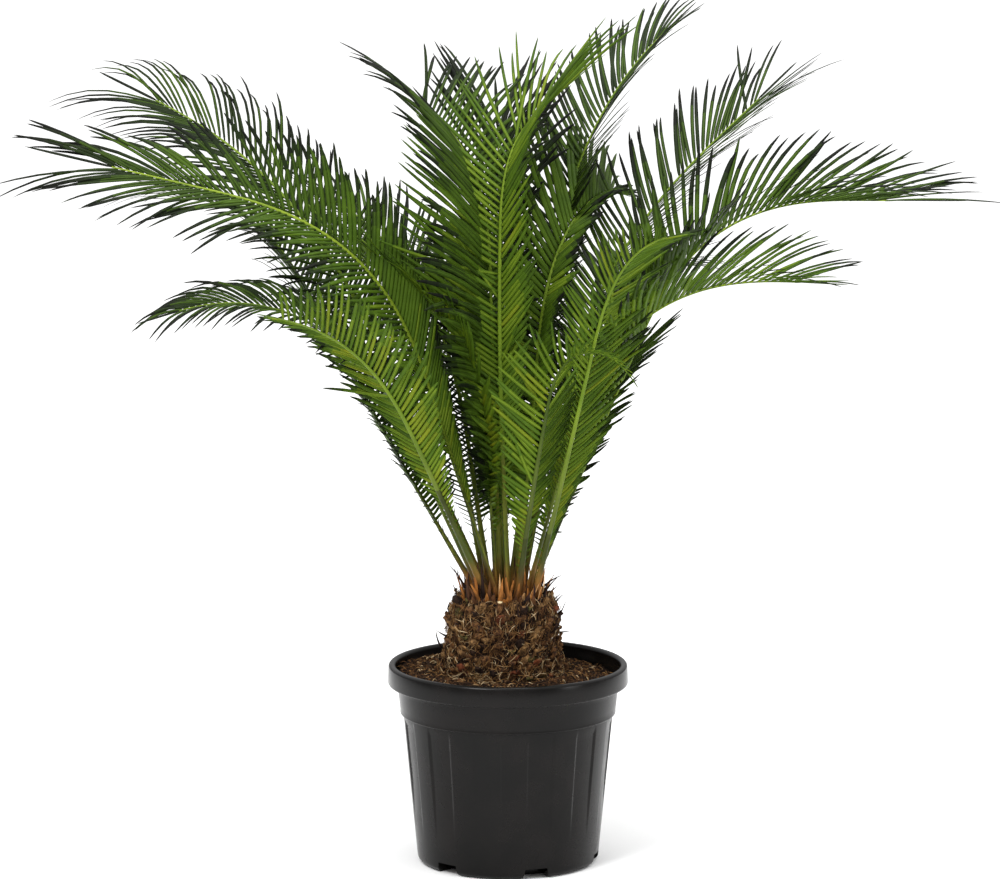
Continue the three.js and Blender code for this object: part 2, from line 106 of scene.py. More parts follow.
# Every surface mixes two colours by soft noise and gets a finer noise for its relief. patch and grain are
# the widths of one blotch and one bump, edges where one colour gives way to the other, and roughness its
# range, which follows the bumps, or the blotches where they are dust. foot gives other colours to what
# lies low, and the heights between which they end raggedly.
def surfaceMaterial(name, colours, patch, grain, relief, roughness, gloss, stretch=(1, 1, 1), foot=None,
                    edges=(0.38, 0.62), details=(3.0, 2.0), harsh=0.6, dust=False):
    material = bpy.data.materials.new(name)
    material.use_nodes = True
    shader = material.node_tree.nodes["Principled BSDF"]
    place = addNode(material, "ShaderNodeTexCoord", out="Object")
    stretched = addNode(material, "ShaderNodeMapping", {"Vector": place, "Scale": stretch})
    blotches = addNode(material, "ShaderNodeTexNoise", {
        "Vector": stretched, "Scale": 1 / (patch * metres), "Detail": details[0], "Roughness": harsh})
    bumps = addNode(material, "ShaderNodeTexNoise", {
        "Vector": stretched, "Scale": 1 / (grain * metres), "Detail": details[1], "Roughness": 0.5})
    share = addNode(material, "ShaderNodeMapRange", {
        "Value": blotches, "From Min": edges[0], "From Max": edges[1]})
    colour = addNode(material, "ShaderNodeMix", {
        0: share, 6: linear(colours[0]), 7: linear(colours[1])}, out=2, data_type="RGBA")
    if foot:
        height = addNode(material, "ShaderNodeSeparateXYZ", {"Vector": place}, out="Z")
        ragged = addNode(material, "ShaderNodeMath", {
            0: blotches, 1: foot["ragged"] * metres, 2: height}, operation="MULTIPLY_ADD")
        risen = addNode(material, "ShaderNodeMapRange", {
            "Value": ragged, "From Min": foot["low"] * metres, "From Max": foot["high"] * metres})
        old = addNode(material, "ShaderNodeMix", {
            0: share, 6: linear(foot["first"]), 7: linear(foot["second"])}, out=2, data_type="RGBA")
        colour = addNode(material, "ShaderNodeMix", {0: risen, 6: old, 7: colour}, out=2, data_type="RGBA")
    dulled = addNode(material, "ShaderNodeMapRange", {
        "Value": blotches if dust else bumps, "From Min": 0.3, "From Max": 0.7,
        "To Min": roughness[0], "To Max": roughness[1]})
    bump = addNode(material, "ShaderNodeBump", {
        "Height": bumps, "Distance": relief * metres, "Strength": 1.0})
    for socket, source in (("Base Color", colour), ("Roughness", dulled), ("Normal", bump)):
        material.node_tree.links.new(source, shader.inputs[socket])
    shader.inputs["Specular IOR Level"].default_value = gloss
    return material


# One material for each name and its two colours, all with the same look.
def materialSet(look, colours):
    return {name: surfaceMaterial(name, pair, **look) for name, pair in colours.items()}


# Living leaf: waxy, so a soft even sheen on a colour that barely varies along one leaflet. The first
# nine go from young to dusk in half steps of shade: partly the leaves' own greens and partly painted shade,
# the darker steps standing in for the shade on the fronds at the back and low down. The veins are for the
# line along each leaflet, partly the pale midvein and partly a painted highlight.
leafLook = {"patch": 45, "grain": 2.2, "relief": 0.1, "roughness": (0.44, 0.58), "gloss": 0.07}
leafMaterials = materialSet(leafLook, {
    "young_leaf": ("#7d841c", "#6d7718"),
    "light_leaf": ("#6b7819", "#5c6c15"),
    "fresh_leaf": ("#566c17", "#486013"),
    "green_leaf": ("#475f15", "#3b5312"),
    "mature_leaf": ("#3b5113", "#314511"),
    "full_leaf": ("#2f4112", "#26360f"),
    "deep_leaf": ("#222f12", "#1a260e"),
    "dark_leaf": ("#191f11", "#12180d"),
    "dusk_leaf": ("#131410", "#0d0f0b"),
    # The veins' paler colour is partly the real midvein and partly a painted highlight along each leaflet.
    "young_vein_and_highlight": ("#77892c", "#687a24"),
    "mature_vein_and_highlight": ("#4b6520", "#3e5619"),
    "dusk_vein_and_highlight": ("#1f2617", "#171c11"),
})

# Stalks and midribs: smooth green rind, with painted shade: their sides darker than their tops, and the
# midribs of the lighter fronds at the front paler than those of the shaded ones behind. They are orange
# brown with dull maroon patches where they leave the trunk.
stalkLook = {
    "patch": 26, "grain": 3, "relief": 0.15, "roughness": (0.42, 0.56), "gloss": 0.12, "stretch": (1, 1, 0.3),
}
stalkFoot = {"first": "#8f5f2b", "second": "#43231a", "low": 362, "high": 408, "ragged": 34}
# The midribs darken low down towards the stalk's colour, which also paints the shade in the lower crown.
midribFoot = {"first": "#59632a", "second": "#424b20", "low": 440, "high": 620, "ragged": 60}
stalkMaterials = {
    name: surfaceMaterial(name, pair, foot=foot, **stalkLook)
    for name, pair, foot in (
        ("midrib_top", ("#6b8122", "#5b721d"), midribFoot),
        ("midrib_side", ("#465a18", "#384914"), midribFoot),
        ("stalk_top", ("#6f7429", "#586121"), stalkFoot),
        ("stalk_side", ("#474f1f", "#343b18"), stalkFoot),
        ("pale_midrib", ("#7d9128", "#6b8022"), midribFoot),
    )
}

# Old leaf bases: dry woody scales with woolly fibres, so dull, streaked and uneven. The first five are
# their sides, and the last two where they were cut.
barkLook = {
    "patch": 3.5, "grain": 1.4, "relief": 1.5, "roughness": (0.82, 0.96), "gloss": 0.12,
    "stretch": (1, 1, 0.4),
}
barkMaterials = materialSet(barkLook, {
    "brown_leaf_base": ("#74502f", "#33221a"),
    "straw_leaf_base": ("#957248", "#503924"),
    "mossy_leaf_base": ("#625932", "#38321d"),
    "reddish_leaf_base": ("#7c452b", "#432218"),
    "dark_leaf_base": ("#2f2018", "#150d09"),
    "cut_leaf_base": ("#7d5d3b", "#3b291b"),
    "fresh_cut_stub": ("#dccda6", "#b39a6c"),
})

# Loose fibres: dry straw, thin enough that their own shadow gives the relief.
fibreLook = {"patch": 6, "grain": 1.2, "relief": 0.2, "roughness": (0.79, 0.93), "gloss": 0.12}
fibreMaterials = materialSet(fibreLook, {
    "pale_fibre": ("#d8c19a", "#a98a60"),
    "tan_fibre": ("#a07a4c", "#785532"),
    "brown_fibre": ("#64442a", "#44301d"),
    "dark_fibre": ("#261911", "#150d09"),
})

# Young scale leaves round the crown: papery and orange brown with pale dry edges.
bractLook = {
    "patch": 7, "grain": 1.5, "relief": 0.4, "roughness": (0.69, 0.83), "gloss": 0.15, "stretch": (1, 1, 0.2),
}
bractMaterials = materialSet(bractLook, {
    "orange_scale_leaf": ("#a4682f", "#64401f"),
    "brown_scale_leaf": ("#5f3d23", "#301d13"),
    "pale_scale_edge": ("#d8ae7c", "#b17f4a"),
    "dark_scale_tip": ("#1d1411", "#2e1b15"),
})

# Potting mix: coir and bark crumbs, so a dull brown, with near-black blotches that paint the shade in the
# gaps between crumbs.
soilMaterial = surfaceMaterial("potting_mix", ("#3a2719", "#120b08"), patch=4, grain=1.6, relief=1.5,
                               roughness=(0.86, 1), gloss=0.12)

# Injection moulded polypropylene: charcoal black with a satin skin, so broad soft highlights, a faint
# orange-peel from the mould and a little dust that dulls it in patches.
potPlastic = surfaceMaterial("moulded_polypropylene", ("#0a0908", "#141110"), patch=55, grain=4, relief=0.04,
                             roughness=(0.18, 0.32), gloss=0.16, edges=(0.4, 0.75), details=(4.0, 1.0),
                             harsh=0.55, dust=True)
potPlastic.node_tree.nodes["Principled BSDF"].inputs["IOR"].default_value = 1.49
print("materials made:", len(bpy.data.materials))


# The directions along a centre line, and its wide and up directions square to them.
def framesAlong(centres, wide):
    along = unit(np.gradient(centres, axis=1))
    squared = unit(wide - along * np.sum(along * wide, axis=-1, keepdims=True))
    return squared, np.cross(along, squared)


# Sweeps one cross-section along many centre lines at once, with a flat face at both ends of each.
# centres is (strips, stations, 3), wide is where the ring's first axis points, and up its second where
# that isn't simply square to the line. halfWidth and depth scale the two axes. The ring runs
# anticlockwise seen from a strip's far end, and kinds gives the material numbers of sides and ends.
def sweepStrips(ring, centres, wide, halfWidth, depth, kinds, up=None):
    if up is None:
        wide, up = framesAlong(centres, wide)
    strips, stations = centres.shape[:2]
    corners = len(ring)
    across = np.array([u for u, v in ring])
    raised = np.array([v for u, v in ring])
    points = centres[:, :, None] + wide[:, :, None] * (halfWidth[..., None] * across)[..., None]
    points = points + up[:, :, None] * (depth[..., None] * raised)[..., None]
    index = np.arange(strips * stations * corners).reshape(strips, stations, corners)
    onward = np.roll(index, -1, axis=2)
    quads = np.stack([index[:, :-1], onward[:, :-1], onward[:, 1:], index[:, 1:]], axis=-1)
    bodyKinds = np.broadcast_to(kinds[0], (strips, stations - 1, corners))
    faces = quads.reshape(-1, 4).tolist()
    faces += index[:, 0, ::-1].tolist() + index[:, -1].tolist()
    endKinds = np.broadcast_to(kinds[1], (2, strips))
    return points.reshape(-1, 3), faces, np.concatenate([bodyKinds.ravel(), endKinds.ravel()])


# Makes one piece of several sets of points, faces and material numbers.
def finishSets(name, sets, materials, nodes, smooth=True):
    points, faces, kinds = [], [], []
    for setPoints, setFaces, setKinds in sets:
        start = sum(len(p) for p in points)
        points.append(setPoints)
        faces += [[corner + start for corner in face] for face in setFaces]
        kinds.append(setKinds)
    mesh = bpy.data.meshes.new(name)
    mesh.from_pydata((np.concatenate(points) * metres).tolist(), [], faces)
    mesh.polygons.foreach_set("material_index", np.concatenate(kinds).astype(int))
    mesh.update()
    finishPiece(bpy.data.objects.new(name, mesh), materials.values(), nodes, smooth)


# Turns two directions about a third by an angle.
def turnPair(wide, up, angle):
    turn = np.asarray(angle)[..., None]
    return wide * np.cos(turn) + up * np.sin(turn), up * np.cos(turn) - wide * np.sin(turn)


# Straight centre lines from each root, with points at the shares t of each length.
def straightLines(root, along, length, t):
    return root[:, None] + (length[:, None] * t)[..., None] * along[:, None]


# Such lines drawn aside by a share of their length, more and more towards their ends.
def curledLines(root, along, length, t, curl, side):
    aside = (length * curl)[:, None, None] * (t ** 2)[:, None] * side[:, None]
    return straightLines(root, along, length, t) + aside


upward = np.array([0, 0, 1.0])


# The level directions outwards and sideways at some headings.
def outAndAside(heading):
    level = np.zeros(len(heading))
    out = np.stack([np.cos(heading), np.sin(heading), level], axis=1)
    return out, np.stack([np.sin(heading), -np.cos(heading), level], axis=1)


# Directions that lean out from upright by an angle.
def leaning(out, lean):
    return out * np.sin(lean)[:, None] + upward * np.cos(lean)[:, None]


# The camera, with its place and target in metres.
view = {
    "place": (-0.010, -5.920, 1.511), "target": (-0.010, 0, 0.536), "lens": 173.2, "sensor": 36, "clip": 300,
}


def placeCamera():
    camera = bpy.data.objects.new("camera", bpy.data.cameras.new("camera"))
    camera.location = view["place"]
    aim = Vector(view["target"]) - Vector(view["place"])
    camera.rotation_euler = aim.to_track_quat("-Z", "Y").to_euler()
    camera.data.lens = view["lens"]
    camera.data.sensor_width = view["sensor"]
    camera.data.clip_end = view["clip"]
    bpy.context.scene.collection.objects.link(camera)
    bpy.context.scene.camera = camera


# Softboxes: name, place and size in metres, watts. The dome brightens from the horizon to the zenith.
lamps = [
    ("keyLight", (-1.9, -2.8, 3.8), 1.3, 120),
    ("topLight", (0.5, 0.4, 3.6), 1.6, 50),
    ("sideLight", (2.7, -1.5, 0.9), 0.7, 16),
]
lampTarget = (0, 0, 0.5)
dome = {"horizon": 0.25, "zenith": 1.75}


def placeLights():
    for name, place, size, power in lamps:
        light = bpy.data.lights.new(name, "AREA")
        light.size = size
        light.energy = power
        lamp = bpy.data.objects.new(name, light)
        lamp.location = place
        lamp.rotation_euler = (Vector(lampTarget) - Vector(place)).to_track_quat("-Z", "Y").to_euler()
        bpy.context.scene.collection.objects.link(lamp)
    world = bpy.data.worlds.new("studio")
    world.use_nodes = True
    background = world.node_tree.nodes["Background"]
    direction = addNode(world, "ShaderNodeTexCoord", out="Generated")
    height = addNode(world, "ShaderNodeSeparateXYZ", {"Vector": direction}, out="Z")
    glow = addNode(world, "ShaderNodeMapRange", {
        "Value": height, "To Min": dome["horizon"], "To Max": dome["zenith"]})
    world.node_tree.links.new(glow, background.inputs["Strength"])
    background.inputs["Color"].default_value = linear("#ffffff")
    bpy.context.scene.world = world
    bpy.context.scene.view_settings.view_transform = "Standard"


# A matt sheet that lies half a millimetre under the pot.
floorLook = {"halfWidth": 40000, "below": 0.5, "colour": "#f8f8f8", "roughness": 0.9}


def placeFloor():
    bm = bmesh.new()
    bmesh.ops.create_grid(bm, x_segments=1, y_segments=1, size=floorLook["halfWidth"])
    floor = objectFromBmesh(bm, "floor")
    material = bpy.data.materials.new("pale_floor")
    material.use_nodes = True
    shader = material.node_tree.nodes["Principled BSDF"]
    shader.inputs["Base Color"].default_value = linear(floorLook["colour"])
    shader.inputs["Roughness"].default_value = floorLook["roughness"]
    shader.inputs["Specular IOR Level"].default_value = 0.0
    floor.data.materials.append(material)
    floor.location.z = -floorLook["below"] * metres
    bpy.context.scene.collection.objects.link(floor)


placeCamera()
placeLights()
placeFloor()
print("camera, light and floor placed")


pot = {
    "height": 252, "sides": 720, "rimRadius": 151, "rimWidth": 10, "rimDepth": 26, "rimRound": 4.5,
    "bandDepth": 36, "bandTop": 139, "bandFoot": 135, "bodyTop": 132, "bodyFoot": 113.5, "corner": 8,
    "wall": 3, "floor": 12, "ring": 86, "pad": 42, "recess": 4, "bevel": 2, "wallRows": 26, "bandRound": 1.9,
    "skirtRound": 3, "sharp": 38, "panels": 12, "panelTurn": 3.5, "panelDepth": 1.8, "panelWidth": 15,
    "panelEdge": 0.75, "panelTop": 181, "panelFade": (35, 120), "panelEnd": 4, "notches": 6,
    "notchTurn": 48, "notchWidth": 36, "notchHeight": 13, "notchTop": 0.8, "notchDeep": 60,
}
rimFoot = pot["height"] - pot["rimDepth"]
bandFoot = rimFoot - pot["bandDepth"]


def bodyRadius(height):
    return mix(pot["bodyFoot"], pot["bodyTop"], height / bandFoot)


# The wall's inner side as heights and radii, from the floor up to the rim.
innerWall = [
    (pot["floor"], bodyRadius(pot["floor"]) - pot["wall"] - pot["panelDepth"]),
    (bandFoot - 4, bodyRadius(bandFoot - 4) - pot["wall"] - pot["panelDepth"]),
    (bandFoot + 10, pot["bandFoot"] - pot["wall"] + 1),
    (rimFoot, pot["bandTop"] - pot["wall"]),
    (rimFoot + 14, pot["rimRadius"] - pot["rimWidth"]),
]


def innerRadius(height):
    return float(np.interp(height, *zip(*innerWall)))


# Points on an arc of a radius-and-height profile, between two headings.
def arc(centre, radius, start, end, count):
    headings = np.radians(np.linspace(start, end, count))
    return [(centre[0] + radius * math.cos(a), centre[1] + radius * math.sin(a)) for a in headings]


# The pot's outline, from the middle of its underside out, up and over the lip, and down the inside.
# The fractions of a millimetre set one arc against the next.
def potProfile():
    rim, soft, corner, skirt = pot["rimRadius"], pot["rimRound"], pot["corner"], pot["skirtRound"]
    inner = rim - pot["rimWidth"]
    profile = [(0, 0), (pot["pad"], 0), (pot["pad"] + pot["bevel"], pot["recess"])]
    profile += [(pot["ring"], pot["recess"]), (pot["ring"] + pot["bevel"], 0)]
    profile += arc((bodyRadius(corner) - corner, corner), corner, -90, 0, 7)
    profile += [(bodyRadius(z), z) for z in np.linspace(corner + 6, pot["panelTop"] + 3, pot["wallRows"])]
    profile += [(bodyRadius(bandFoot - 1.5), bandFoot - 1.5), (pot["bandFoot"] - 1, bandFoot - 0.8)]
    profile += arc((pot["bandFoot"] - 1.2, bandFoot + 0.9), pot["bandRound"], -70, 5, 5)
    profile += [(mix(pot["bandFoot"] + 0.4, pot["bandTop"], t), mix(bandFoot + 2, rimFoot - 1.5, t))
                for t in np.linspace(0, 1, 6)]
    profile += [(pot["bandTop"] + 1.2, rimFoot)]
    profile += arc((rim - skirt, rimFoot + skirt), skirt, -90, 0, 5)
    profile += arc((rim - soft - 0.6, pot["height"] - soft), soft, 12, 90, 7)
    profile += arc((inner + soft, pot["height"] - soft), soft, 92, 180, 6)
    profile += [(radius, z) for z, radius in innerWall[:0:-1]] + [(innerRadius(16), 16)]
    profile += [(innerRadius(pot["floor"]) - 3, pot["floor"]), (0, pot["floor"])]
    return profile


# Raised upright panels with sunk ones between them, which fade out above the foot.
def sinkPanels(bm):
    step = 2 * math.pi / pot["panels"]
    half, edge = math.radians(pot["panelWidth"]) / 2, math.radians(pot["panelEdge"])
    for vert in bm.verts:
        radius, height = math.hypot(vert.co.x, vert.co.y), vert.co.z
        if height > pot["panelTop"] or radius < bodyRadius(height) - 1:
            continue
        heading = math.atan2(vert.co.y, vert.co.x) - math.radians(pot["panelTurn"])
        offset = abs((heading + step / 2) % step - step / 2)
        sunk = smoothstep(offset, half - edge, half + edge)
        fade = smoothstep(height, *pot["panelFade"])
        fade *= 1 - smoothstep(height, pot["panelTop"] - pot["panelEnd"], pot["panelTop"])
        scale = 1 - pot["panelDepth"] * float(sunk * fade) / radius
        vert.co.x *= scale
        vert.co.y *= scale


def spinProfile(profile, sides):
    bm = bmesh.new()
    verts = [bm.verts.new((radius, 0, height)) for radius, height in profile]
    edges = [bm.edges.new(pair) for pair in zip(verts, verts[1:])]
    bmesh.ops.spin(bm, geom=verts + edges, cent=(0, 0, 0), axis=(0, 0, 1), dvec=(0, 0, 0),
                   angle=2 * math.pi, steps=sides, use_merge=True, use_duplicate=False)
    bmesh.ops.remove_doubles(bm, verts=bm.verts, dist=0.001)
    bmesh.ops.recalc_face_normals(bm, faces=bm.faces)
    return bm


# The drain openings cut up into the foot.
def notchCutter():
    bm = bmesh.new()
    for i in range(pot["notches"]):
        turn = math.radians(pot["notchTurn"] + 360 * i / pot["notches"])
        made = bmesh.ops.create_cube(bm, size=1)["verts"]
        bmesh.ops.scale(bm, vec=(pot["notchDeep"], pot["notchWidth"], 2 * pot["notchHeight"]), verts=made)
        for vert in made:
            if vert.co.z > 0:
                vert.co.y *= pot["notchTop"]
        bmesh.ops.translate(bm, vec=(pot["ring"] + pot["bevel"] + pot["notchDeep"] / 2, 0, 0), verts=made)
        bmesh.ops.rotate(bm, cent=(0, 0, 0), matrix=Matrix.Rotation(turn, 3, "Z"), verts=made)
    return objectFromBmesh(bm, "notch_cutter")


def makePot():
    bm = spinProfile(potProfile(), pot["sides"])
    sinkPanels(bm)
    shell = objectFromBmesh(bm, "nursery_pot")
    cutter = notchCutter()
    for obj in (shell, cutter):
        bpy.context.scene.collection.objects.link(obj)
    cut = shell.modifiers.new("notches", "BOOLEAN")
    cut.operation = "DIFFERENCE"
    cut.solver = "EXACT"
    cut.object = cutter
    bpy.context.view_layer.objects.active = shell
    bpy.ops.object.modifier_apply(modifier=cut.name)
    bpy.data.objects.remove(cutter)
    finishPiece(shell, [potPlastic], ["pot"])
    shell.data.set_sharp_from_angle(angle=math.radians(pot["sharp"]))


makePot()
print("pot made")


soil = {
    "level": 242, "edge": (92, 138), "edgeDrop": 6, "side": (84, 112), "sideDrop": 6, "wallGap": 0.5,
    "sides": 220, "rows": 56, "lump": 26, "lumpHeight": 2.2, "crumb": 6, "crumbHeight": 1.5,
    "spread": (62, 137), "seed": 11,
}


def soilHeight(x, y):
    radius = math.hypot(x, y)
    height = soil["level"] - soil["edgeDrop"] * float(smoothstep(radius, *soil["edge"]))
    height -= soil["sideDrop"] * x / max(radius, 1) * float(smoothstep(radius, *soil["side"]))
    height += soil["lumpHeight"] * noise.noise(Vector((x, y, 0)) / soil["lump"])
    return height + soil["crumbHeight"] * noise.noise(Vector((x, y, 50)) / soil["crumb"])


def makeSoil():
    wall = innerRadius(rimFoot + 1) - soil["wallGap"]
    foot = pot["floor"] + 0.3
    profile = [(0, foot), (innerRadius(foot) - 4, foot)]
    profile += [(radius - 0.6, height) for height, radius in innerWall[1:4]]
    profile += [(radius, soil["level"]) for radius in np.linspace(wall, 50, soil["rows"])]
    profile += [(0, soil["level"])]
    bm = spinProfile(profile, soil["sides"])
    for vert in bm.verts:
        if vert.co.z > rimFoot:
            vert.co.z = soilHeight(vert.co.x, vert.co.y)
    finishPiece(objectFromBmesh(bm, "soil_body"), [soilMaterial], ["soil"])


# Points spread over the soil between the trunk and the pot's wall.
def soilSpots(count, rng):
    near, far = soil["spread"]
    radius = np.sqrt(rng.uniform(near ** 2, far ** 2, count))
    heading = rng.uniform(0, 2 * math.pi, count)
    return np.stack([radius * np.cos(heading), radius * np.sin(heading)], axis=1)


crumbs = {"count": 2200, "size": (0.6, 2.2), "shape": (1.4, 1, 0.7), "shares": (0.01, 0.05, 0.34, 0.6)}


def makeCrumbs():
    rng = np.random.default_rng(soil["seed"])
    bm = bmesh.new()
    bmesh.ops.create_icosphere(bm, subdivisions=1, radius=1)
    corners = np.array([vert.co[:] for vert in bm.verts])
    faces = [[vert.index for vert in face.verts] for face in bm.faces]
    bm.free()
    sets = []
    for x, y in soilSpots(crumbs["count"], rng):
        size = rng.uniform(*crumbs["size"]) * np.array(crumbs["shape"]) * rng.uniform(0.7, 1.3, 3)
        turn = np.array(Matrix.Rotation(rng.uniform(0, 6.28), 3, Vector(rng.normal(size=3))))
        shape = (corners * size * rng.uniform(0.8, 1.2, corners.shape)) @ turn.T
        place = np.array([x, y, soilHeight(x, y) + 0.3])
        kind = rng.choice(4, p=crumbs["shares"])
        sets.append((shape + place, faces, np.full(len(faces), kind)))
    finishSets("soil_crumbs", sets, fibreMaterials, ["soil"], smooth=False)


fibreRing = [(1, -0.5), (0, 1), (-1, -0.5)]


# Fibres that lie on a surface. follow(a, b, lift) gives the points at two surface places and a height.
def layFibres(follow, spots, length, heading, look, rng):
    count = len(spots)
    lift = rng.uniform(*look["lift"], count)[:, None]
    bow = rng.uniform(*look["bow"], count)[:, None]
    bend = rng.normal(0, look["bend"], count)[:, None]
    half = rng.uniform(*look["half"], count)[:, None] * np.array([0.6, 0.9, 1, 0.95, 0.75, 0.3])
    kinds = rng.choice(4, count, p=look["shares"])
    share = np.linspace(0, 1, 6)
    swing = heading[:, None] + bend * (share - 0.5)
    step = length[:, None] / (len(share) - 1)
    a = spots[:, :1] + np.cumsum(step * np.cos(swing), axis=1)
    b = spots[:, 1:] + np.cumsum(step * np.sin(swing), axis=1)
    lift = lift + bow * np.sin(math.pi * share)
    centres = follow(a, b, lift)
    side = unit(np.cross(np.gradient(centres, axis=1), centres - follow(a, b, lift + 1)))
    return sweepStrips(fibreRing, centres, side, half, half, (kinds[:, None, None], kinds))


def onSoil(a, b, lift):
    height = np.vectorize(soilHeight)(a, b)
    return np.stack([a, b, height + lift], axis=-1)


soilFibres = {
    "count": 2600, "reach": 128, "length": (4, 15), "lift": (0.3, 1.2), "bow": (-1, 3.2), "bend": 1.2,
    "half": (0.2, 0.5), "shares": (0.07, 0.16, 0.41, 0.36),
}


def makeSoilFibres():
    rng = np.random.default_rng(soil["seed"] + 1)
    count = soilFibres["count"]
    spots = soilSpots(count, rng)
    spots *= np.minimum(1, soilFibres["reach"] / np.linalg.norm(spots, axis=1, keepdims=True))
    length, heading = rng.uniform(*soilFibres["length"], count), rng.uniform(0, 2 * math.pi, count)
    strips = layFibres(onSoil, spots, length, heading, soilFibres, rng)
    finishSets("soil_fibres", [strips], fibreMaterials, ["soil"])


makeSoil()
makeCrumbs()
makeSoilFibres()
print("soil made")


trunk = {
    "height": 96, "foot": 242.3, "footX": -9, "footRadius": 71, "topX": -4.5, "topRadius": 56,
    "flare": 5, "shoulder": 5, "coreInset": 5, "coreRough": ((3.5, 9, 0.7), (1.5, 3, 0.5)), "seed": 23,
}
trunkTop = trunk["foot"] + trunk["height"]


# The trunk's middle and radius at a share of its height.
def trunkAt(share):
    flare = trunk["flare"] * (1 - share) ** 4
    shoulder = trunk["shoulder"] * smoothstep(share, 0.3, 0.8) * (1 - smoothstep(share, 0.85, 1))
    radius = mix(trunk["footRadius"], trunk["topRadius"], share) + flare + shoulder
    return mix(trunk["footX"], trunk["topX"], share), radius


def onTrunk(a, b, lift):
    share = np.clip((b - trunk["foot"]) / trunk["height"], 0, 1)
    middle, radius = trunkAt(share)
    heading = a / trunk["topRadius"]
    reach = radius + lift
    return np.stack([middle + reach * np.cos(heading), reach * np.sin(heading), b], axis=-1)


def makeTrunkCore():
    profile = [(0, 0)]
    profile += [(trunkAt(share)[1] - trunk["coreInset"], share * trunk["height"])
                for share in np.linspace(0, 1, 50)]
    profile += [(0, trunk["height"])]
    bm = spinProfile(profile, 180)
    for vert in bm.verts:
        share = vert.co.z / trunk["height"]
        radius = max(math.hypot(vert.co.x, vert.co.y), 0.001)
        heading = math.atan2(vert.co.y, vert.co.x)
        rough = sum(height * noise.noise(Vector((vert.co.x, vert.co.y, vert.co.z * flat)) / width)
                    for height, width, flat in trunk["coreRough"])
        reach = radius + rough * min(radius / 20, 1)
        vert.co.x = trunkAt(share)[0] + reach * math.cos(heading)
        vert.co.y = reach * math.sin(heading)
        vert.co.z += trunk["foot"]
    core = objectFromBmesh(bm, "trunk_core")
    finishPiece(core, [barkMaterials["dark_leaf_base"]], ["trunk"])


# Overlapping stubs of old leaves in a spiral, each cut off blunt. Pairs are for the trunk's foot and top
# in outward and shrink, and the least and most in length, half and depth.
leafBases = {
    "count": 270, "from": 0.01, "climb": 0.93, "outward": (56, 34), "spread": 8, "length": (19, 29),
    "shrink": (1, 0.9), "buried": 13, "sunk": 9, "half": (4.2, 7.6), "depth": (2.6, 4.8), "rough": 0.8,
    "shares": (0.44, 0.2, 0.09, 0.07, 0.2), "paleCuts": 0.7,
}
scaleRing = [(1, 0), (0.72, 0.62), (0, 1), (-0.72, 0.62), (-1, 0), (0, -0.4)]


def makeLeafBases():
    rng = np.random.default_rng(trunk["seed"])
    count = leafBases["count"]
    share = leafBases["from"] + leafBases["climb"] * (np.arange(count) + 0.5) / count
    heading = goldenAngle * np.arange(count) + rng.normal(0, 0.05, count)
    middle, radius = trunkAt(share)
    lean = np.radians(mix(*leafBases["outward"], share) + rng.normal(0, leafBases["spread"], count))
    length = rng.uniform(*leafBases["length"], count) * mix(*leafBases["shrink"], share)
    out, aside = outAndAside(heading)
    height = trunk["foot"] + share * trunk["height"] - leafBases["sunk"]
    root = out * (radius - leafBases["buried"])[:, None] + upward * height[:, None]
    root[:, 0] += middle
    t = np.array([0, 0.4, 0.7, 0.88, 0.97, 1])
    rise = np.array([0, 0, 0.01, 0.04, 0.07, 0.08])
    centres = straightLines(root, leaning(out, lean), length, t)
    centres = centres + (length[:, None] * rise)[..., None] * upward
    half = rng.uniform(*leafBases["half"], count)[:, None] * np.array([0.8, 1, 1, 0.92, 0.76, 0.55])
    depth = rng.uniform(*leafBases["depth"], count)[:, None] * np.array([0.8, 1, 1, 0.94, 0.78, 0.6])
    kinds = rng.choice(5, count, p=leafBases["shares"])
    pale, dark = (numberOf(barkMaterials, name) for name in ("cut_leaf_base", "dark_leaf_base"))
    cut = np.where(rng.random(count) < leafBases["paleCuts"], pale, dark)
    points, faces, faceKinds = sweepStrips(
        scaleRing, centres, aside[:, None], half, depth, (kinds[:, None, None], cut))
    return points + rng.normal(0, leafBases["rough"], points.shape), faces, faceKinds


# Thick stubs that stand proud of the rest: foot, where each points, length, half width, sides and end.
stubs = [
    ((-10, -55, 335), (0, -0.8, 0.6), 13, 4.4, "brown_leaf_base", "fresh_cut_stub"),
    ((-53, -20, 333), (-0.85, -0.25, 0.5), 17, 8.5, "dark_leaf_base", "dark_leaf_base"),
    ((50, -18, 324), (0.85, -0.4, 0.3), 14, 6.5, "reddish_leaf_base", "reddish_leaf_base"),
    ((24, 52, 330), (0.3, 0.85, 0.45), 15, 7.5, "dark_leaf_base", "cut_leaf_base"),
    ((-36, 50, 318), (-0.5, 0.8, 0.4), 14, 6.5, "brown_leaf_base", "cut_leaf_base"),
]


def makeStubs():
    foot, along, length, half = [np.array(column) for column in list(zip(*stubs))[:4]]
    side, face = [np.array([numberOf(barkMaterials, row[i]) for row in stubs]) for i in (4, 5)]
    along = unit(along.astype(float))
    centres = straightLines(foot, along, length, np.array([0, 0.5, 0.85, 0.96, 1]))
    flat = unit(np.cross(along, upward))[:, None]
    halves = half[:, None] * np.array([1, 1, 0.98, 0.9, 0.75])
    return sweepStrips(scaleRing, centres, flat, halves, halves * 0.8, (side[:, None, None], face))


# Matted strands that run up the trunk, and loose ones that lie across it any way, more of them low down.
trunkFibres = [
    {"count": 2900, "crowd": 1, "spread": 0.5, "length": (5, 15), "lift": (0, 6), "bow": (-1, 2),
     "bend": 0.6, "half": (0.18, 0.45), "shares": (0.05, 0.27, 0.4, 0.28)},
    {"count": 2500, "crowd": 2.2, "spread": None, "length": (4, 16), "lift": (2, 7.5), "bow": (-1, 2),
     "bend": 1.1, "half": (0.18, 0.45), "shares": (0.17, 0.28, 0.25, 0.3)},
]


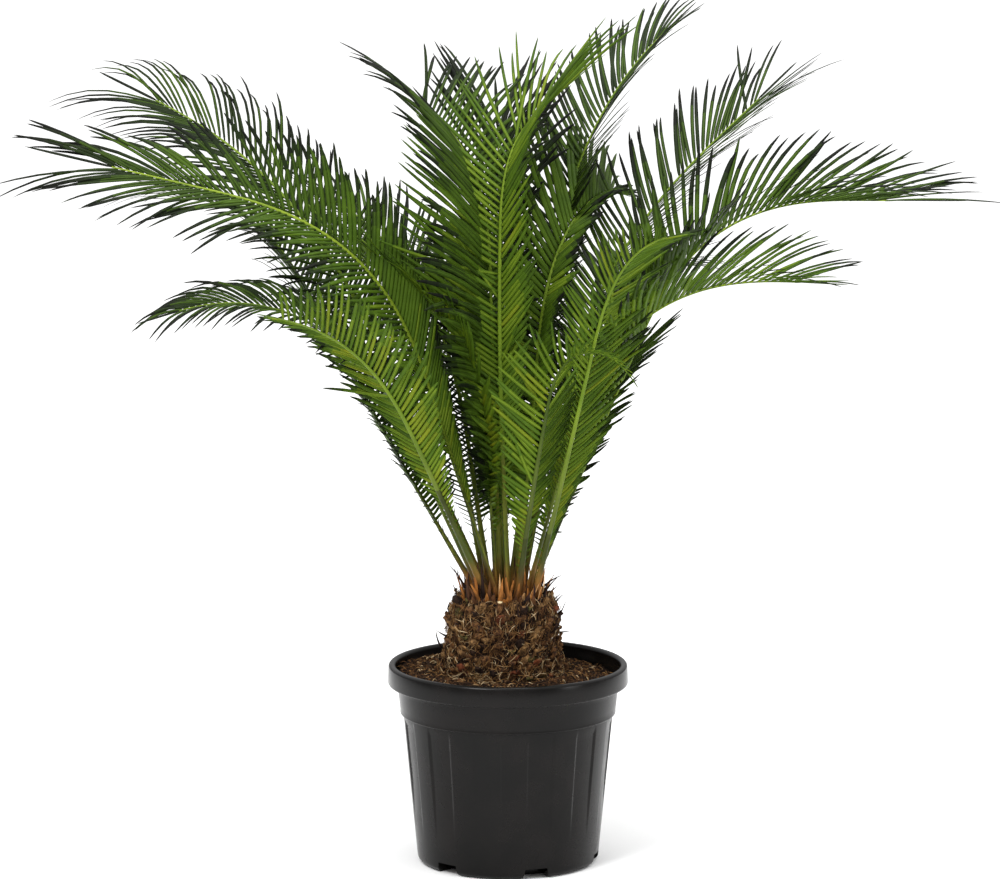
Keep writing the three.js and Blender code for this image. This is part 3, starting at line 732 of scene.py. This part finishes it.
def makeTrunkFibres():
    rng = np.random.default_rng(trunk["seed"] + 1)
    sets = []
    for look in trunkFibres:
        count = look["count"]
        around = rng.uniform(0, 2 * math.pi * trunk["topRadius"], count)
        height = trunk["foot"] + trunk["height"] * rng.random(count) ** look["crowd"]
        if look["spread"]:
            heading = rng.normal(math.pi / 2, look["spread"], count)
        else:
            heading = rng.uniform(0, math.pi, count)
        length = rng.uniform(*look["length"], count)
        rise = length * np.abs(np.sin(heading))
        spots = np.stack([around, np.clip(height, None, trunkTop + 3 - rise)], axis=1)
        sets.append(layFibres(onTrunk, spots, length, heading, look, rng))
    finishSets("trunk_fibres", sets, fibreMaterials, ["trunk"])


makeTrunkCore()
finishSets("trunk_leaf_bases", [makeLeafBases(), makeStubs()], barkMaterials, ["trunk"])
makeTrunkFibres()
print("trunk made")


# Rings of scale leaves from the trunk's shoulder inwards: count, distance from the middle, length,
# lean from upright, half width, and the share of each scale material in the order of bractMaterials.
# lengths and widths scale single ones, and tilt, stagger, skew and curl set them apart.
crown = {
    "rings": [
        (28, 53, 16, 28, 4.5, (0.1, 0.5, 0, 0.4)),
        (34, 49, 31, 16, 4, (0.4, 0.38, 0.06, 0.16)),
        (32, 42, 42, 10, 3.3, (0.5, 0.3, 0.12, 0.08)),
        (22, 31, 44, 7, 2.4, (0.45, 0.35, 0.1, 0.1)),
    ],
    "sunk": 6, "lengths": (0.45, 1.35), "widths": (0.8, 1.2), "depth": 2.6, "tilt": 7, "stagger": 2.5,
    "skew": 0.13, "curl": (0.02, 0.12), "paleEdges": 0.35, "darkTips": 0.5, "seed": 37,
}
bractRing = [(1, 0.15), (0.8, 0.42), (0, 0.8), (-0.8, 0.42), (-1, 0.15), (0, 0.25)]


def makeScaleLeaves():
    rng = np.random.default_rng(crown["seed"])
    orange, pale, dark = (numberOf(bractMaterials, name)
                          for name in ("orange_scale_leaf", "pale_scale_edge", "dark_scale_tip"))
    t = np.array([0, 0.25, 0.5, 0.72, 0.88, 1])
    sets = []
    for count, distance, reach, tilt, broad, shares in crown["rings"]:
        heading = 2 * math.pi * (np.arange(count) + rng.uniform(-0.3, 0.3, count)) / count
        lean = np.radians(tilt + rng.normal(0, crown["tilt"], count))
        length = reach * rng.uniform(*crown["lengths"], count)
        out, aside = outAndAside(heading)
        root = out * (distance + rng.normal(0, crown["stagger"], count))[:, None]
        root = root + upward * (trunkTop - crown["sunk"])
        root[:, 0] += trunk["topX"]
        along = unit(leaning(out, lean) + aside * rng.normal(0, crown["skew"], count)[:, None])
        curl = rng.normal(*crown["curl"], count)
        centres = curledLines(root, along, length, t, curl, out)
        half = broad * rng.uniform(*crown["widths"], count)[:, None]
        half = half * np.array([0.9, 1, 0.85, 0.55, 0.25, 0.04])
        depth = np.full(count, crown["depth"])[:, None] * np.array([1, 1, 0.9, 0.7, 0.5, 0.3])
        base = rng.choice(4, count, p=shares)
        kinds = np.broadcast_to(base[:, None, None], (count, len(t) - 1, len(bractRing))).copy()
        edged = (rng.random(count) < crown["paleEdges"]) & (base == orange)
        kinds[:, 1:4, 0] = np.where(edged[:, None], pale, kinds[:, 1:4, 0])
        kinds[:, 4:] = np.where(rng.random((count, 1, 1)) < crown["darkTips"], dark, kinds[:, 4:])
        sets.append(sweepStrips(bractRing, centres, aside[:, None], half, depth, (kinds, base)))
    finishSets("crown_scale_leaves", sets, bractMaterials, ["crown_bracts"])


spineRing = [(1, 0), (0, 1), (-1, 0), (0, -1)]

# Dry curled spines: the place of each foot, where it points, its length and its curl.
spines = [
    ((-84, -14, 275), (-0.45, -0.1, 0.8), 24, -0.25),
    ((-77, -20, 290), (-0.9, -0.2, 0.45), 15, -0.1),
    ((-62, -8, 333), (-0.2, 0, 1), 24, 0.15),
    ((-50, -16, 350), (-0.8, -0.1, 0.75), 32, -0.25),
    ((-56, 0, 340), (-0.45, 0, 1), 33, -0.2),
    ((-54, 10, 345), (-0.35, 0.1, 1), 36, 0.3),
    ((56, -12, 300), (0.55, -0.1, 0.9), 40, 0.1),
    ((61, -8, 291), (0.95, 0, 0.35), 17, -0.25),
    ((52, -6, 322), (0.3, 0, 1), 24, -0.35),
    ((56, 4, 322), (0.45, 0, 1), 22, -0.3),
    ((44, -14, 342), (0.55, 0, 0.9), 30, -0.15),
    ((42, -6, 348), (0.75, 0, 0.8), 32, -0.25),
    ((40, 8, 352), (0.4, 0.1, 1), 30, 0.2),
    ((-30, -52, 330), (-0.1, -0.3, 1), 22, 0.1),
    ((12, -62, 322), (0.15, -0.4, 1), 20, 0.2),
    ((-20, 60, 300), (-0.3, 0.7, 0.8), 26, -0.2),
    ((30, 56, 325), (0.3, 0.6, 1), 24, -0.25),
]


def makeSpines():
    t = np.linspace(0, 1, 8)
    foot, along, length, curl = [np.array(column, float) for column in zip(*spines)]
    along = unit(along)
    bend = unit(np.cross(along, np.array([0, 1.0, 0])))
    centres = curledLines(foot, along, length, t, curl, bend)
    half = np.broadcast_to(np.array([1.5, 1.35, 1.2, 1, 0.85, 0.65, 0.45, 0.12]), centres.shape[:2])
    dark = numberOf(bractMaterials, "dark_scale_tip")
    strips = sweepStrips(spineRing, centres, bend[:, None], half, half, (dark, dark))
    finishSets("dry_spines", [strips], bractMaterials, ["crown_bracts"])


makeScaleLeaves()
makeSpines()
print("crown made")


# As in the model's source: seat is the stalk's distance from the middle and its heading there, lean the
# stalk's angle from upright, arch what the midrib adds between the two shares in bend, turn the swing of
# its heading, roll the blade's turn about its midrib, fold the rise of both rows, bare the stalk's share,
# leaf the leaflets' scale, last how long the endmost are for the longest, and angle the leaflets' angle
# from the midrib at the blade's foot and end.
# shade is the leaf colour at the blade's foot and end, from 0, young, to 4, dusk, in half steps, partly the
# fronds' own greens and partly painted shade: the fronds at the back and low down get darker steps for the
# shade they sit in.
# Pairs of values are for the row on the left of the midrib and the row on its right, as seen along it
# from above: tip is the shade added at the leaflets' ends, face how far they turn their flat side at the
# blade's foot, with faceEnd for its end, blunt rounds their ends, and lift turns those of the first two
# thirds upwards, with liftEnd for the rest. gather says how late the leaflets swing in towards the midrib,
# rows scales them, and rowsEnd scales them again past the stretch given by change. broad widens them, and
# light is where they turn their flat side to. droop, sweep and hook bend them down, towards the frond's
# end, and over at their tips.
frondDefaults = {
    "turn": 0, "roll": 0, "fold": 25, "bare": 0.15, "leaf": 1, "last": 0.9, "angle": (74, 16),
    "gather": (2, 2), "shade": (2, 3), "tip": (1.2, 1.2), "face": (0.6, 0.6), "faceEnd": 0.85,
    "blunt": (0, 0), "lift": (0, 0), "liftEnd": (0, 0), "rows": (1, 1), "rowsEnd": (1, 1),
    "change": (0.55, 0.75), "broad": 1, "light": (0, 0, 1), "droop": 0.04, "sweep": 0.08, "hook": 0.05,
}
frondShape = ("seat", "heading", "lean", "arch", "bend", "length")

# Each frond: the values named in frondShape, and what differs from frondDefaults.
fronds = {
    "centre": ((10, 309), 158.6, 3.4, 56.6, (0.66, 0.99), 657, dict(turn=-118.6, roll=-15, bare=0.2,
        leaf=1.1, last=1, angle=(62, 16), gather=(6, 5), shade=(1.2, 1.1), tip=(0.9, 0.9),
        face=(0.3, 0.5), faceEnd=0.8, lift=(0.1, 0.3), rows=(1.05, 0.56), rowsEnd=(1, 1.9),
        change=(0.72, 0.85), broad=0.95, light=(0, -0.9, 0.45), sweep=0.1)),
    "left_long": ((12.5, 233), 182, 18, 58, (0.33, 0.85), 792, dict(turn=5, roll=-42, fold=20, last=1.1,
        shade=(0.9, 2.8), tip=(1.6, 1.6), face=(0.5, 0.6), faceEnd=0.75, blunt=(0, 0.5), lift=(0, 0.75),
        light=(0, -0.8, 0.6), droop=0.15)),
    "front_left": ((29, 226), 220, 29, 50, (0.42, 1.1), 522, dict(roll=20, fold=13, bare=0.25, leaf=0.7,
        last=0.55, angle=(62, 44), gather=(2.5, 2), shade=(0.9, 1.1), tip=(0.7, 2.6), face=(1, 0.8),
        faceEnd=0.95, blunt=(0.5, 0), lift=(0.2, 0), liftEnd=(0.4, 0), rows=(1.1, 1.05),
        rowsEnd=(1, 0.55), broad=0.9, light=(0, -1, 0.35))),
    "front_middle": ((28, 306), 300, 13, 140, (0.58, 1.08), 428, dict(turn=33, roll=-10, fold=20,
        leaf=0.8, last=0.22, angle=(58, 40), gather=(3, 3), shade=(1.2, 1.1), tip=(0.6, 0.4),
        face=(0.85, 0.85), blunt=(0.3, 0.3), rows=(1.05, 1.2), rowsEnd=(0.35, 0.4), change=(0.6, 0.85),
        broad=0.86, light=(0, -1, 0.3), droop=0.08, sweep=0.16)),
    "front_right": ((41, 333), 314.5, 18, 80, (0.6, 1.2), 554, dict(turn=-5, roll=-20, fold=16, bare=0.12,
        leaf=0.8, last=0.5, angle=(54, 38), gather=(3, 3), shade=(1, 1.1), tip=(2.2, 0.6),
        face=(0.85, 0.8), faceEnd=0.7, blunt=(0.4, 0), rows=(1.2, 0.12), rowsEnd=(0.75, 6),
        change=(0.42, 0.58), broad=0.8, light=(0, -1, 0.3), droop=-0.08, sweep=0.04, hook=0.1)),
    "left_low": ((27, 183), 190, 25, 92, (0.3, 1.24), 605, dict(turn=20, roll=-20, last=0.6,
        shade=(1.6, 2.8), tip=(1.7, 1.7), face=(0.7, 0.6), rows=(0.72, 0.72), broad=0.85,
        light=(0, -0.8, 0.6), droop=0.16, hook=0.25)),
    "back_left_long": ((22, 150), 158, 27, 48, (0.32, 1.08), 819, dict(turn=-19, roll=-30, last=1.1,
        shade=(1.9, 2.9), tip=(1.6, 1.6), face=(0.8, 0.55), faceEnd=0.9, lift=(0, 0.25), broad=0.78,
        light=(0, -0.8, 0.6), droop=0.12, hook=0.2)),
    "right_low": ((27, 350), 342, 16, 75, (0.29, 1.03), 602, dict(roll=12, fold=36, last=0.65,
        angle=(74, 22), shade=(0.8, 1.7), tip=(2, 2), face=(0.4, 0.8), rows=(1, 0.25), rowsEnd=(1, 4),
        change=(0.35, 0.6), broad=1.05, light=(0, -0.5, 0.85))),
    "right_long": ((31, 15), 4.5, 23.4, 67.5, (0.45, 0.95), 738, dict(roll=12, fold=40, last=1,
        angle=(74, 20), shade=(1, 2.4), tip=(2, 2), face=(0.45, 0.8), lift=(0.25, 0), broad=1.15,
        light=(0, -0.5, 0.85))),
    "back_right_long": ((30, 46), 23.9, 12.2, 49.2, (0.15, 0.96), 758, dict(turn=24.2, roll=5,
        shade=(1.9, 2.6), tip=(1.7, 1.7), face=(0.8, 0.7))),
    "back_right_high": ((33, 74), 61, 13, 53, (0.35, 1.1), 799, dict(turn=-9, roll=-10, last=0.8,
        angle=(74, 12), shade=(2, 2.7), face=(0.8, 0.8), rows=(1, 0.7), broad=1.1, droop=0.12,
        sweep=0.2)),
    "back_left_high": ((13, 115), 139, 2.5, 68, (0.57, 0.96), 691, dict(turn=-20, fold=20, last=0.8,
        angle=(74, 36), gather=(1.4, 7), shade=(1.8, 2.5), tip=(1.6, 1.5), face=(0.5, 0.6), faceEnd=0.7,
        lift=(0.1, 0.35), liftEnd=(0.3, 0.3), rows=(1.35, 0.3), rowsEnd=(1, 4.1), broad=1.15,
        light=(0, -0.8, 0.6), droop=0.22)),
    "right_inner": ((17, 20), 31, 6.3, 110, (0.45, 1.16), 619, dict(turn=36, roll=10, fold=30,
        shade=(1.6, 1.5), tip=(0.6, 2.4), face=(1, 0.4), faceEnd=0.9, rows=(1.25, 0.4), broad=1.3,
        light=(0, -1, 0.2))),
    "back_left_mid": ((29, 128), 130, 13, 56, (0.25, 1), 600, dict(fold=20, shade=(2, 2.8))),
    "back_high": ((22, 96), 90.7, 5.4, 44.5, (0.44, 1.06), 612, dict(turn=2.1, gather=(3, 3),
        shade=(2.3, 2.9), tip=(1.4, 1.4), face=(0.5, 0.5), faceEnd=0.6, lift=(0.2, 0.2), rows=(1, 0.5),
        rowsEnd=(1.5, 2.6), change=(0.65, 0.85), broad=1.2, light=(0, -0.8, 0.6), droop=0.12)),
    "left_inner": ((8.5, 173), 172, 4, 66, (0.3, 1), 532, dict(shade=(0.8, 1.2), tip=(0.6, 0.6))),
    "back_low": ((38, 102), 95, 22, 76, (0.2, 1), 652, dict(shade=(2, 2.6))),
    "back_left_low": ((40, 124), 118, 24, 74, (0.2, 1), 572, dict(shade=(2, 2.6))),
    "back_right_low": ((41, 58), 64, 22, 74, (0.2, 1), 632, dict(shade=(2, 2.6))),
    "rear_left_low": ((39, 148), 163, 32.7, 67, (0.61, 1.09), 667, dict(turn=-22, shade=(1.8, 2.4),
        tip=(1.7, 1.7), face=(0.7, 0.5), hook=0.2)),
    "rear_right_low": ((39, 30), 55.1, 28.6, 28.6, (0.28, 0.9), 380, dict(turn=-1.8, angle=(74, 35),
        shade=(1.6, 2), tip=(1, 1.6), face=(0.5, 0.5), broad=0.7, light=(0, -1, 0.2))),
}

pathSteps = 80


# The midrib's points and its directions along, across and above the blade, step by step.
def frondPath(frond):
    share = np.linspace(0, 1, pathSteps + 1)
    tilt = np.radians(frond["lean"] + frond["arch"] * smoothstep(share, *frond["bend"]))
    heading = np.radians(frond["heading"] + frond["turn"] * share)
    along = np.stack([np.sin(tilt) * np.cos(heading), np.sin(tilt) * np.sin(heading), np.cos(tilt)], axis=1)
    flat = np.stack([-np.sin(heading), np.cos(heading), np.zeros(len(share))], axis=1)
    roll = np.radians(frond["roll"]) * smoothstep(share, 0, 0.4)
    across, above = turnPair(flat, np.cross(along, flat), roll)
    distance, seat = frond["seat"][0], math.radians(frond["seat"][1])
    foot = [trunk["topX"] + distance * math.cos(seat), distance * math.sin(seat), trunkTop + 0.3]
    steps = along[:-1] * frond["length"] / pathSteps
    point = np.array(foot) + np.concatenate([np.zeros((1, 3)), np.cumsum(steps, axis=0)])
    return {"point": point, "along": along, "across": across, "above": above}


def pathAt(path, shares):
    steps = np.linspace(0, 1, pathSteps + 1)
    return {key: np.stack([np.interp(shares, steps, column) for column in rows.T], axis=-1)
            for key, rows in path.items()}


rib = {
    "foot": (15, 12), "stalk": (10.5, 8.6), "blade": (7.4, 6), "tip": (2.4, 2), "stations": 64,
    "stalkEnd": 1.3, "paleRibBelow": 1.2,
}
ribRing = [(1, 0), (0.55, 0.42), (0, 0.3), (-0.55, 0.42), (-1, 0), (-0.7, -0.75), (0, -1), (0.7, -0.75)]


# The stalk and midrib, with a groove along the top.
def ribStrip(frond, path):
    bare = frond["bare"]
    share = np.concatenate([np.linspace(0, bare, 14)[:-1], np.linspace(bare, 1, rib["stations"])])
    at = pathAt(path, share)
    onStalk = share / bare
    onBlade = (share - bare) / (1 - bare)
    sizes = []
    for axis in (0, 1):
        size = np.interp(onStalk, [0, 0.3, 1], [rib["foot"][axis], rib["stalk"][axis], rib["blade"][axis]])
        size = np.where(onBlade > 0, mix(rib["blade"][axis], rib["tip"][axis], onBlade), size)
        sizes.append(size[None] / 2)
    middle = (share[1:] + share[:-1]) / 2
    onStalk = middle < bare * rib["stalkEnd"]
    # Fronds in the lightest colours, mostly those at the front, get pale midribs and the rest darker ones,
    # and every midrib's sides are darker than its top: painted light and shade.
    young = frond["shade"][0] < rib["paleRibBelow"]
    blade = ("pale_midrib", "midrib_top") if young else ("midrib_top", "midrib_side")
    top, side = (np.where(onStalk, numberOf(stalkMaterials, stalk), numberOf(stalkMaterials, green))
                 for stalk, green in zip(("stalk_top", "stalk_side"), blade))
    kinds = np.stack([top] * 4 + [side] * 4, axis=1)[None]
    ends = numberOf(stalkMaterials, "stalk_side")
    point, across, above = (at[key][None] for key in ("point", "across", "above"))
    return sweepStrips(ribRing, point, across, *sizes, (kinds, ends), above)


leaflet = {
    "pitch": 7.6, "length": 132, "firstShare": 0.15, "halfWidth": 3.2, "thickness": 1.5, "tipShare": 0.75,
    "tipWidth": 0.7, "stagger": (0.5, 0.9), "loosening": 0.8, "missing": 0.03, "stray": 0.035,
    "strayTurn": 15, "angleDrift": 3.5, "angleSpread": 1.5, "foldDrift": 4, "shortenFrom": 0.6,
    "lengths": (0.9, 1.04), "liftChange": (0.62, 0.75), "faceSpread": 0.06, "bendSpread": 0.04,
    "narrowing": 0.38, "widths": (0.84, 1.06), "shadeDrift": 0.2, "shadeSpread": 0.22,
    "darkFrom": (0.45, 1.05), "darkSpread": 0.1, "rootOut": 1.4, "seed": 100,
}

# A leaflet's cross-section: its margins rolled down either side of a fine midvein.
leafRing = [(1, -0.35), (0.6, 0.2), (0.1, 0.4), (-0.1, 0.4), (-0.6, 0.2), (-1, -0.35), (0, -0.3)]
leafStations = np.array([0, 0.05, 0.17, 0.34, 0.52, 0.7, 0.86, 0.96, 1])
pointedWidths = np.array([0.5, 0.85, 1, 1, 1, 0.93, 0.72, 0.38, 0.05])
bluntWidths = np.array([0.5, 0.8, 1, 1, 1, 1, 0.94, 0.72, 0.25])


# Values that wander slowly along a row, so that leaflets bunch and part.
def wander(count, rng):
    knots = rng.normal(0, 1, count // 4 + 3)
    return np.interp(np.arange(count) / 4, np.arange(len(knots)), knots)


# The length of a frond's longest leaflets.
def longest(frond):
    return leaflet["length"] * frond["leaf"] * min(1, frond["length"] / 700 + 0.1)


# One row's leaflets: row 0 is on the left of the midrib and row 1 on its right.
def leafletStrips(frond, path, row, rng):
    side = 1 - 2 * row
    blade = 1 - frond["bare"]
    count = round(frond["length"] * blade / leaflet["pitch"])
    order = (np.arange(count) + leaflet["stagger"][row]) / (count + 0.4)
    onBlade = (order * mix(leaflet["loosening"], 1, order))[rng.random(count) > leaflet["missing"]]
    count = len(onBlade)
    at = pathAt(path, frond["bare"] + blade * onBlade)
    stray = rng.random(count) < leaflet["stray"]
    offset = leaflet["angleDrift"] * wander(count, rng) + rng.normal(0, leaflet["angleSpread"], count)
    offset = offset + stray * rng.normal(0, leaflet["strayTurn"], count)
    angle = np.radians(mix(*frond["angle"], onBlade ** frond["gather"][row]) + offset)
    rise = np.minimum(1, leaflet["firstShare"] + 2 * onBlade)
    past = (onBlade - leaflet["shortenFrom"]) / (1 - leaflet["shortenFrom"])
    fall = 1 - (1 - frond["last"]) * np.maximum(0, past) ** 2
    changed = mix(1, frond["rowsEnd"][row], smoothstep(onBlade, *frond["change"]))
    length = longest(frond) * rise * fall * frond["rows"][row] * changed
    length = length * rng.uniform(*leaflet["lengths"], count)
    fold = frond["fold"] + leaflet["foldDrift"] * wander(count, rng)
    fold = np.radians(fold + stray * rng.normal(0, leaflet["strayTurn"], count))[:, None]
    out = side * at["across"] * np.cos(fold) + at["above"] * np.sin(fold)
    along = at["along"] * np.cos(angle)[:, None] + out * np.sin(angle)[:, None]
    lift = mix(frond["lift"][row], frond["liftEnd"][row], smoothstep(onBlade, *leaflet["liftChange"]))
    along = unit(mix(along, upward, lift[:, None]))
    lengthwise = at["along"] - along * np.sum(at["along"] * along, axis=1, keepdims=True)
    blade = np.cross(along, -side * unit(lengthwise))
    light = unit(np.array(frond["light"], float))
    skyward = light - along * (along @ light)[:, None]
    face = mix(frond["face"][row], frond["faceEnd"], onBlade ** 1.5)
    face = face + rng.normal(0, leaflet["faceSpread"], count)
    up = unit(mix(blade, skyward, np.clip(face, 0, 1)[:, None]))
    t = leafStations[:, None]
    sweep, droop, hook = ((frond[key] + rng.normal(0, leaflet["bendSpread"], count))[:, None, None]
                          for key in ("sweep", "droop", "hook"))
    bend = t ** 2 * (sweep * at["along"][:, None] - droop * upward)
    bend = bend + t ** 4 * hook * (0.6 * at["along"][:, None] - upward)
    root = at["point"] + side * at["across"] * leaflet["rootOut"]
    centres = root[:, None] + length[:, None, None] * (t * along[:, None] + bend)
    widths = mix(pointedWidths, bluntWidths, frond["blunt"][row])
    size = np.minimum(1, length / 60 + 0.25) * (1 - leaflet["narrowing"] * onBlade ** 2)
    size = size * rng.uniform(*leaflet["widths"], count)
    half = leaflet["halfWidth"] * frond["broad"] * size[:, None] * widths
    depth = leaflet["thickness"] * size[:, None] * np.array([1, 1, 1, 1, 1, 0.95, 0.8, 0.6, 0.3])
    # Each leaflet's colour step, darker on the shaded back and low fronds: painted shade.
    shade = mix(*frond["shade"], onBlade) + leaflet["shadeDrift"] * wander(count, rng)
    shade = shade + rng.normal(0, leaflet["shadeSpread"], count)
    middles = (leafStations[1:] + leafStations[:-1]) / 2 + rng.normal(0, leaflet["darkSpread"], (count, 1))
    darkened = smoothstep(middles, *leaflet["darkFrom"]) * frond["tip"][row]
    level = np.clip(np.round(2 * (shade[:, None] + darkened)), 0, 8).astype(int)
    kinds = np.repeat(level[:, :, None], len(leafRing), axis=2)
    young, mature, dusk = (numberOf(leafMaterials, name + "_vein_and_highlight") for name in ("young", "mature", "dusk"))
    # The fine strip on top gets a paler vein colour: partly the midvein, partly a painted highlight.
    kinds[:, :, 2] = np.select([level <= 2, level <= 5], [young, mature], dusk)
    return sweepStrips(leafRing, centres, np.cross(up, along)[:, None], half, depth, (kinds, level[:, -1]))


# The one leaflet that ends the midrib.
def tipStrip(frond, path):
    at = pathAt(path, np.array([1.0]))
    reach = leaflet["tipShare"] * frond["last"] * longest(frond)
    centres = at["point"][:, None] + leafStations[:, None] * reach * at["along"][:, None]
    half = (leaflet["halfWidth"] * leaflet["tipWidth"] * pointedWidths)[None]
    level = int(np.clip(round(2 * frond["shade"][1] + frond["tip"][0]), 0, 8))
    return sweepStrips(leafRing, centres, -at["across"][:, None], half, half * 0.4, (level, level))


# Short hard spines in two rows on the upper half of the stalk, longer towards the blade.
stalkSpine = {
    "pitch": 9, "stretch": (0.53, 0.98), "length": (4, 14), "angle": (38, 60), "rootOut": 3.2, "half": 0.9,
}


def stalkSpines(frond, path, side, rng):
    count = max(4, round(frond["bare"] * 0.45 * frond["length"] / stalkSpine["pitch"]))
    at = pathAt(path, frond["bare"] * np.linspace(*stalkSpine["stretch"], count))
    length = np.linspace(*stalkSpine["length"], count) * rng.uniform(0.8, 1.2, count)
    angle = np.radians(rng.uniform(*stalkSpine["angle"], count))[:, None]
    along = at["along"] * np.cos(angle) + side * at["across"] * np.sin(angle)
    root = at["point"] + side * at["across"] * stalkSpine["rootOut"]
    centres = straightLines(root, along, length, np.linspace(0, 1, 4))
    half = np.full((count, 1), stalkSpine["half"]) * np.array([1, 0.85, 0.55, 0.1])
    green = numberOf(leafMaterials, "green_leaf")
    return sweepStrips(spineRing, centres, -side * at["along"][:, None], half, half * 0.8, (green, green))


def makeFrond(index, name, row):
    frond = {**frondDefaults, **dict(zip(frondShape, row)), **row[-1]}
    rng = np.random.default_rng(leaflet["seed"] + index)
    path = frondPath(frond)
    nodes = [node for node in ("frond_" + name, "frond_" + name + "_end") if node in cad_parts]
    finishSets("midrib_" + name, [ribStrip(frond, path)], stalkMaterials, nodes)
    rows = [leafletStrips(frond, path, 0, rng), leafletStrips(frond, path, 1, rng), tipStrip(frond, path)]
    rows += [stalkSpines(frond, path, 1, rng), stalkSpines(frond, path, -1, rng)]
    finishSets("leaflets_" + name, rows, leafMaterials, nodes)


for index, (name, row) in enumerate(fronds.items()):
    makeFrond(index, name, row)
print("fronds made:", len(fronds))
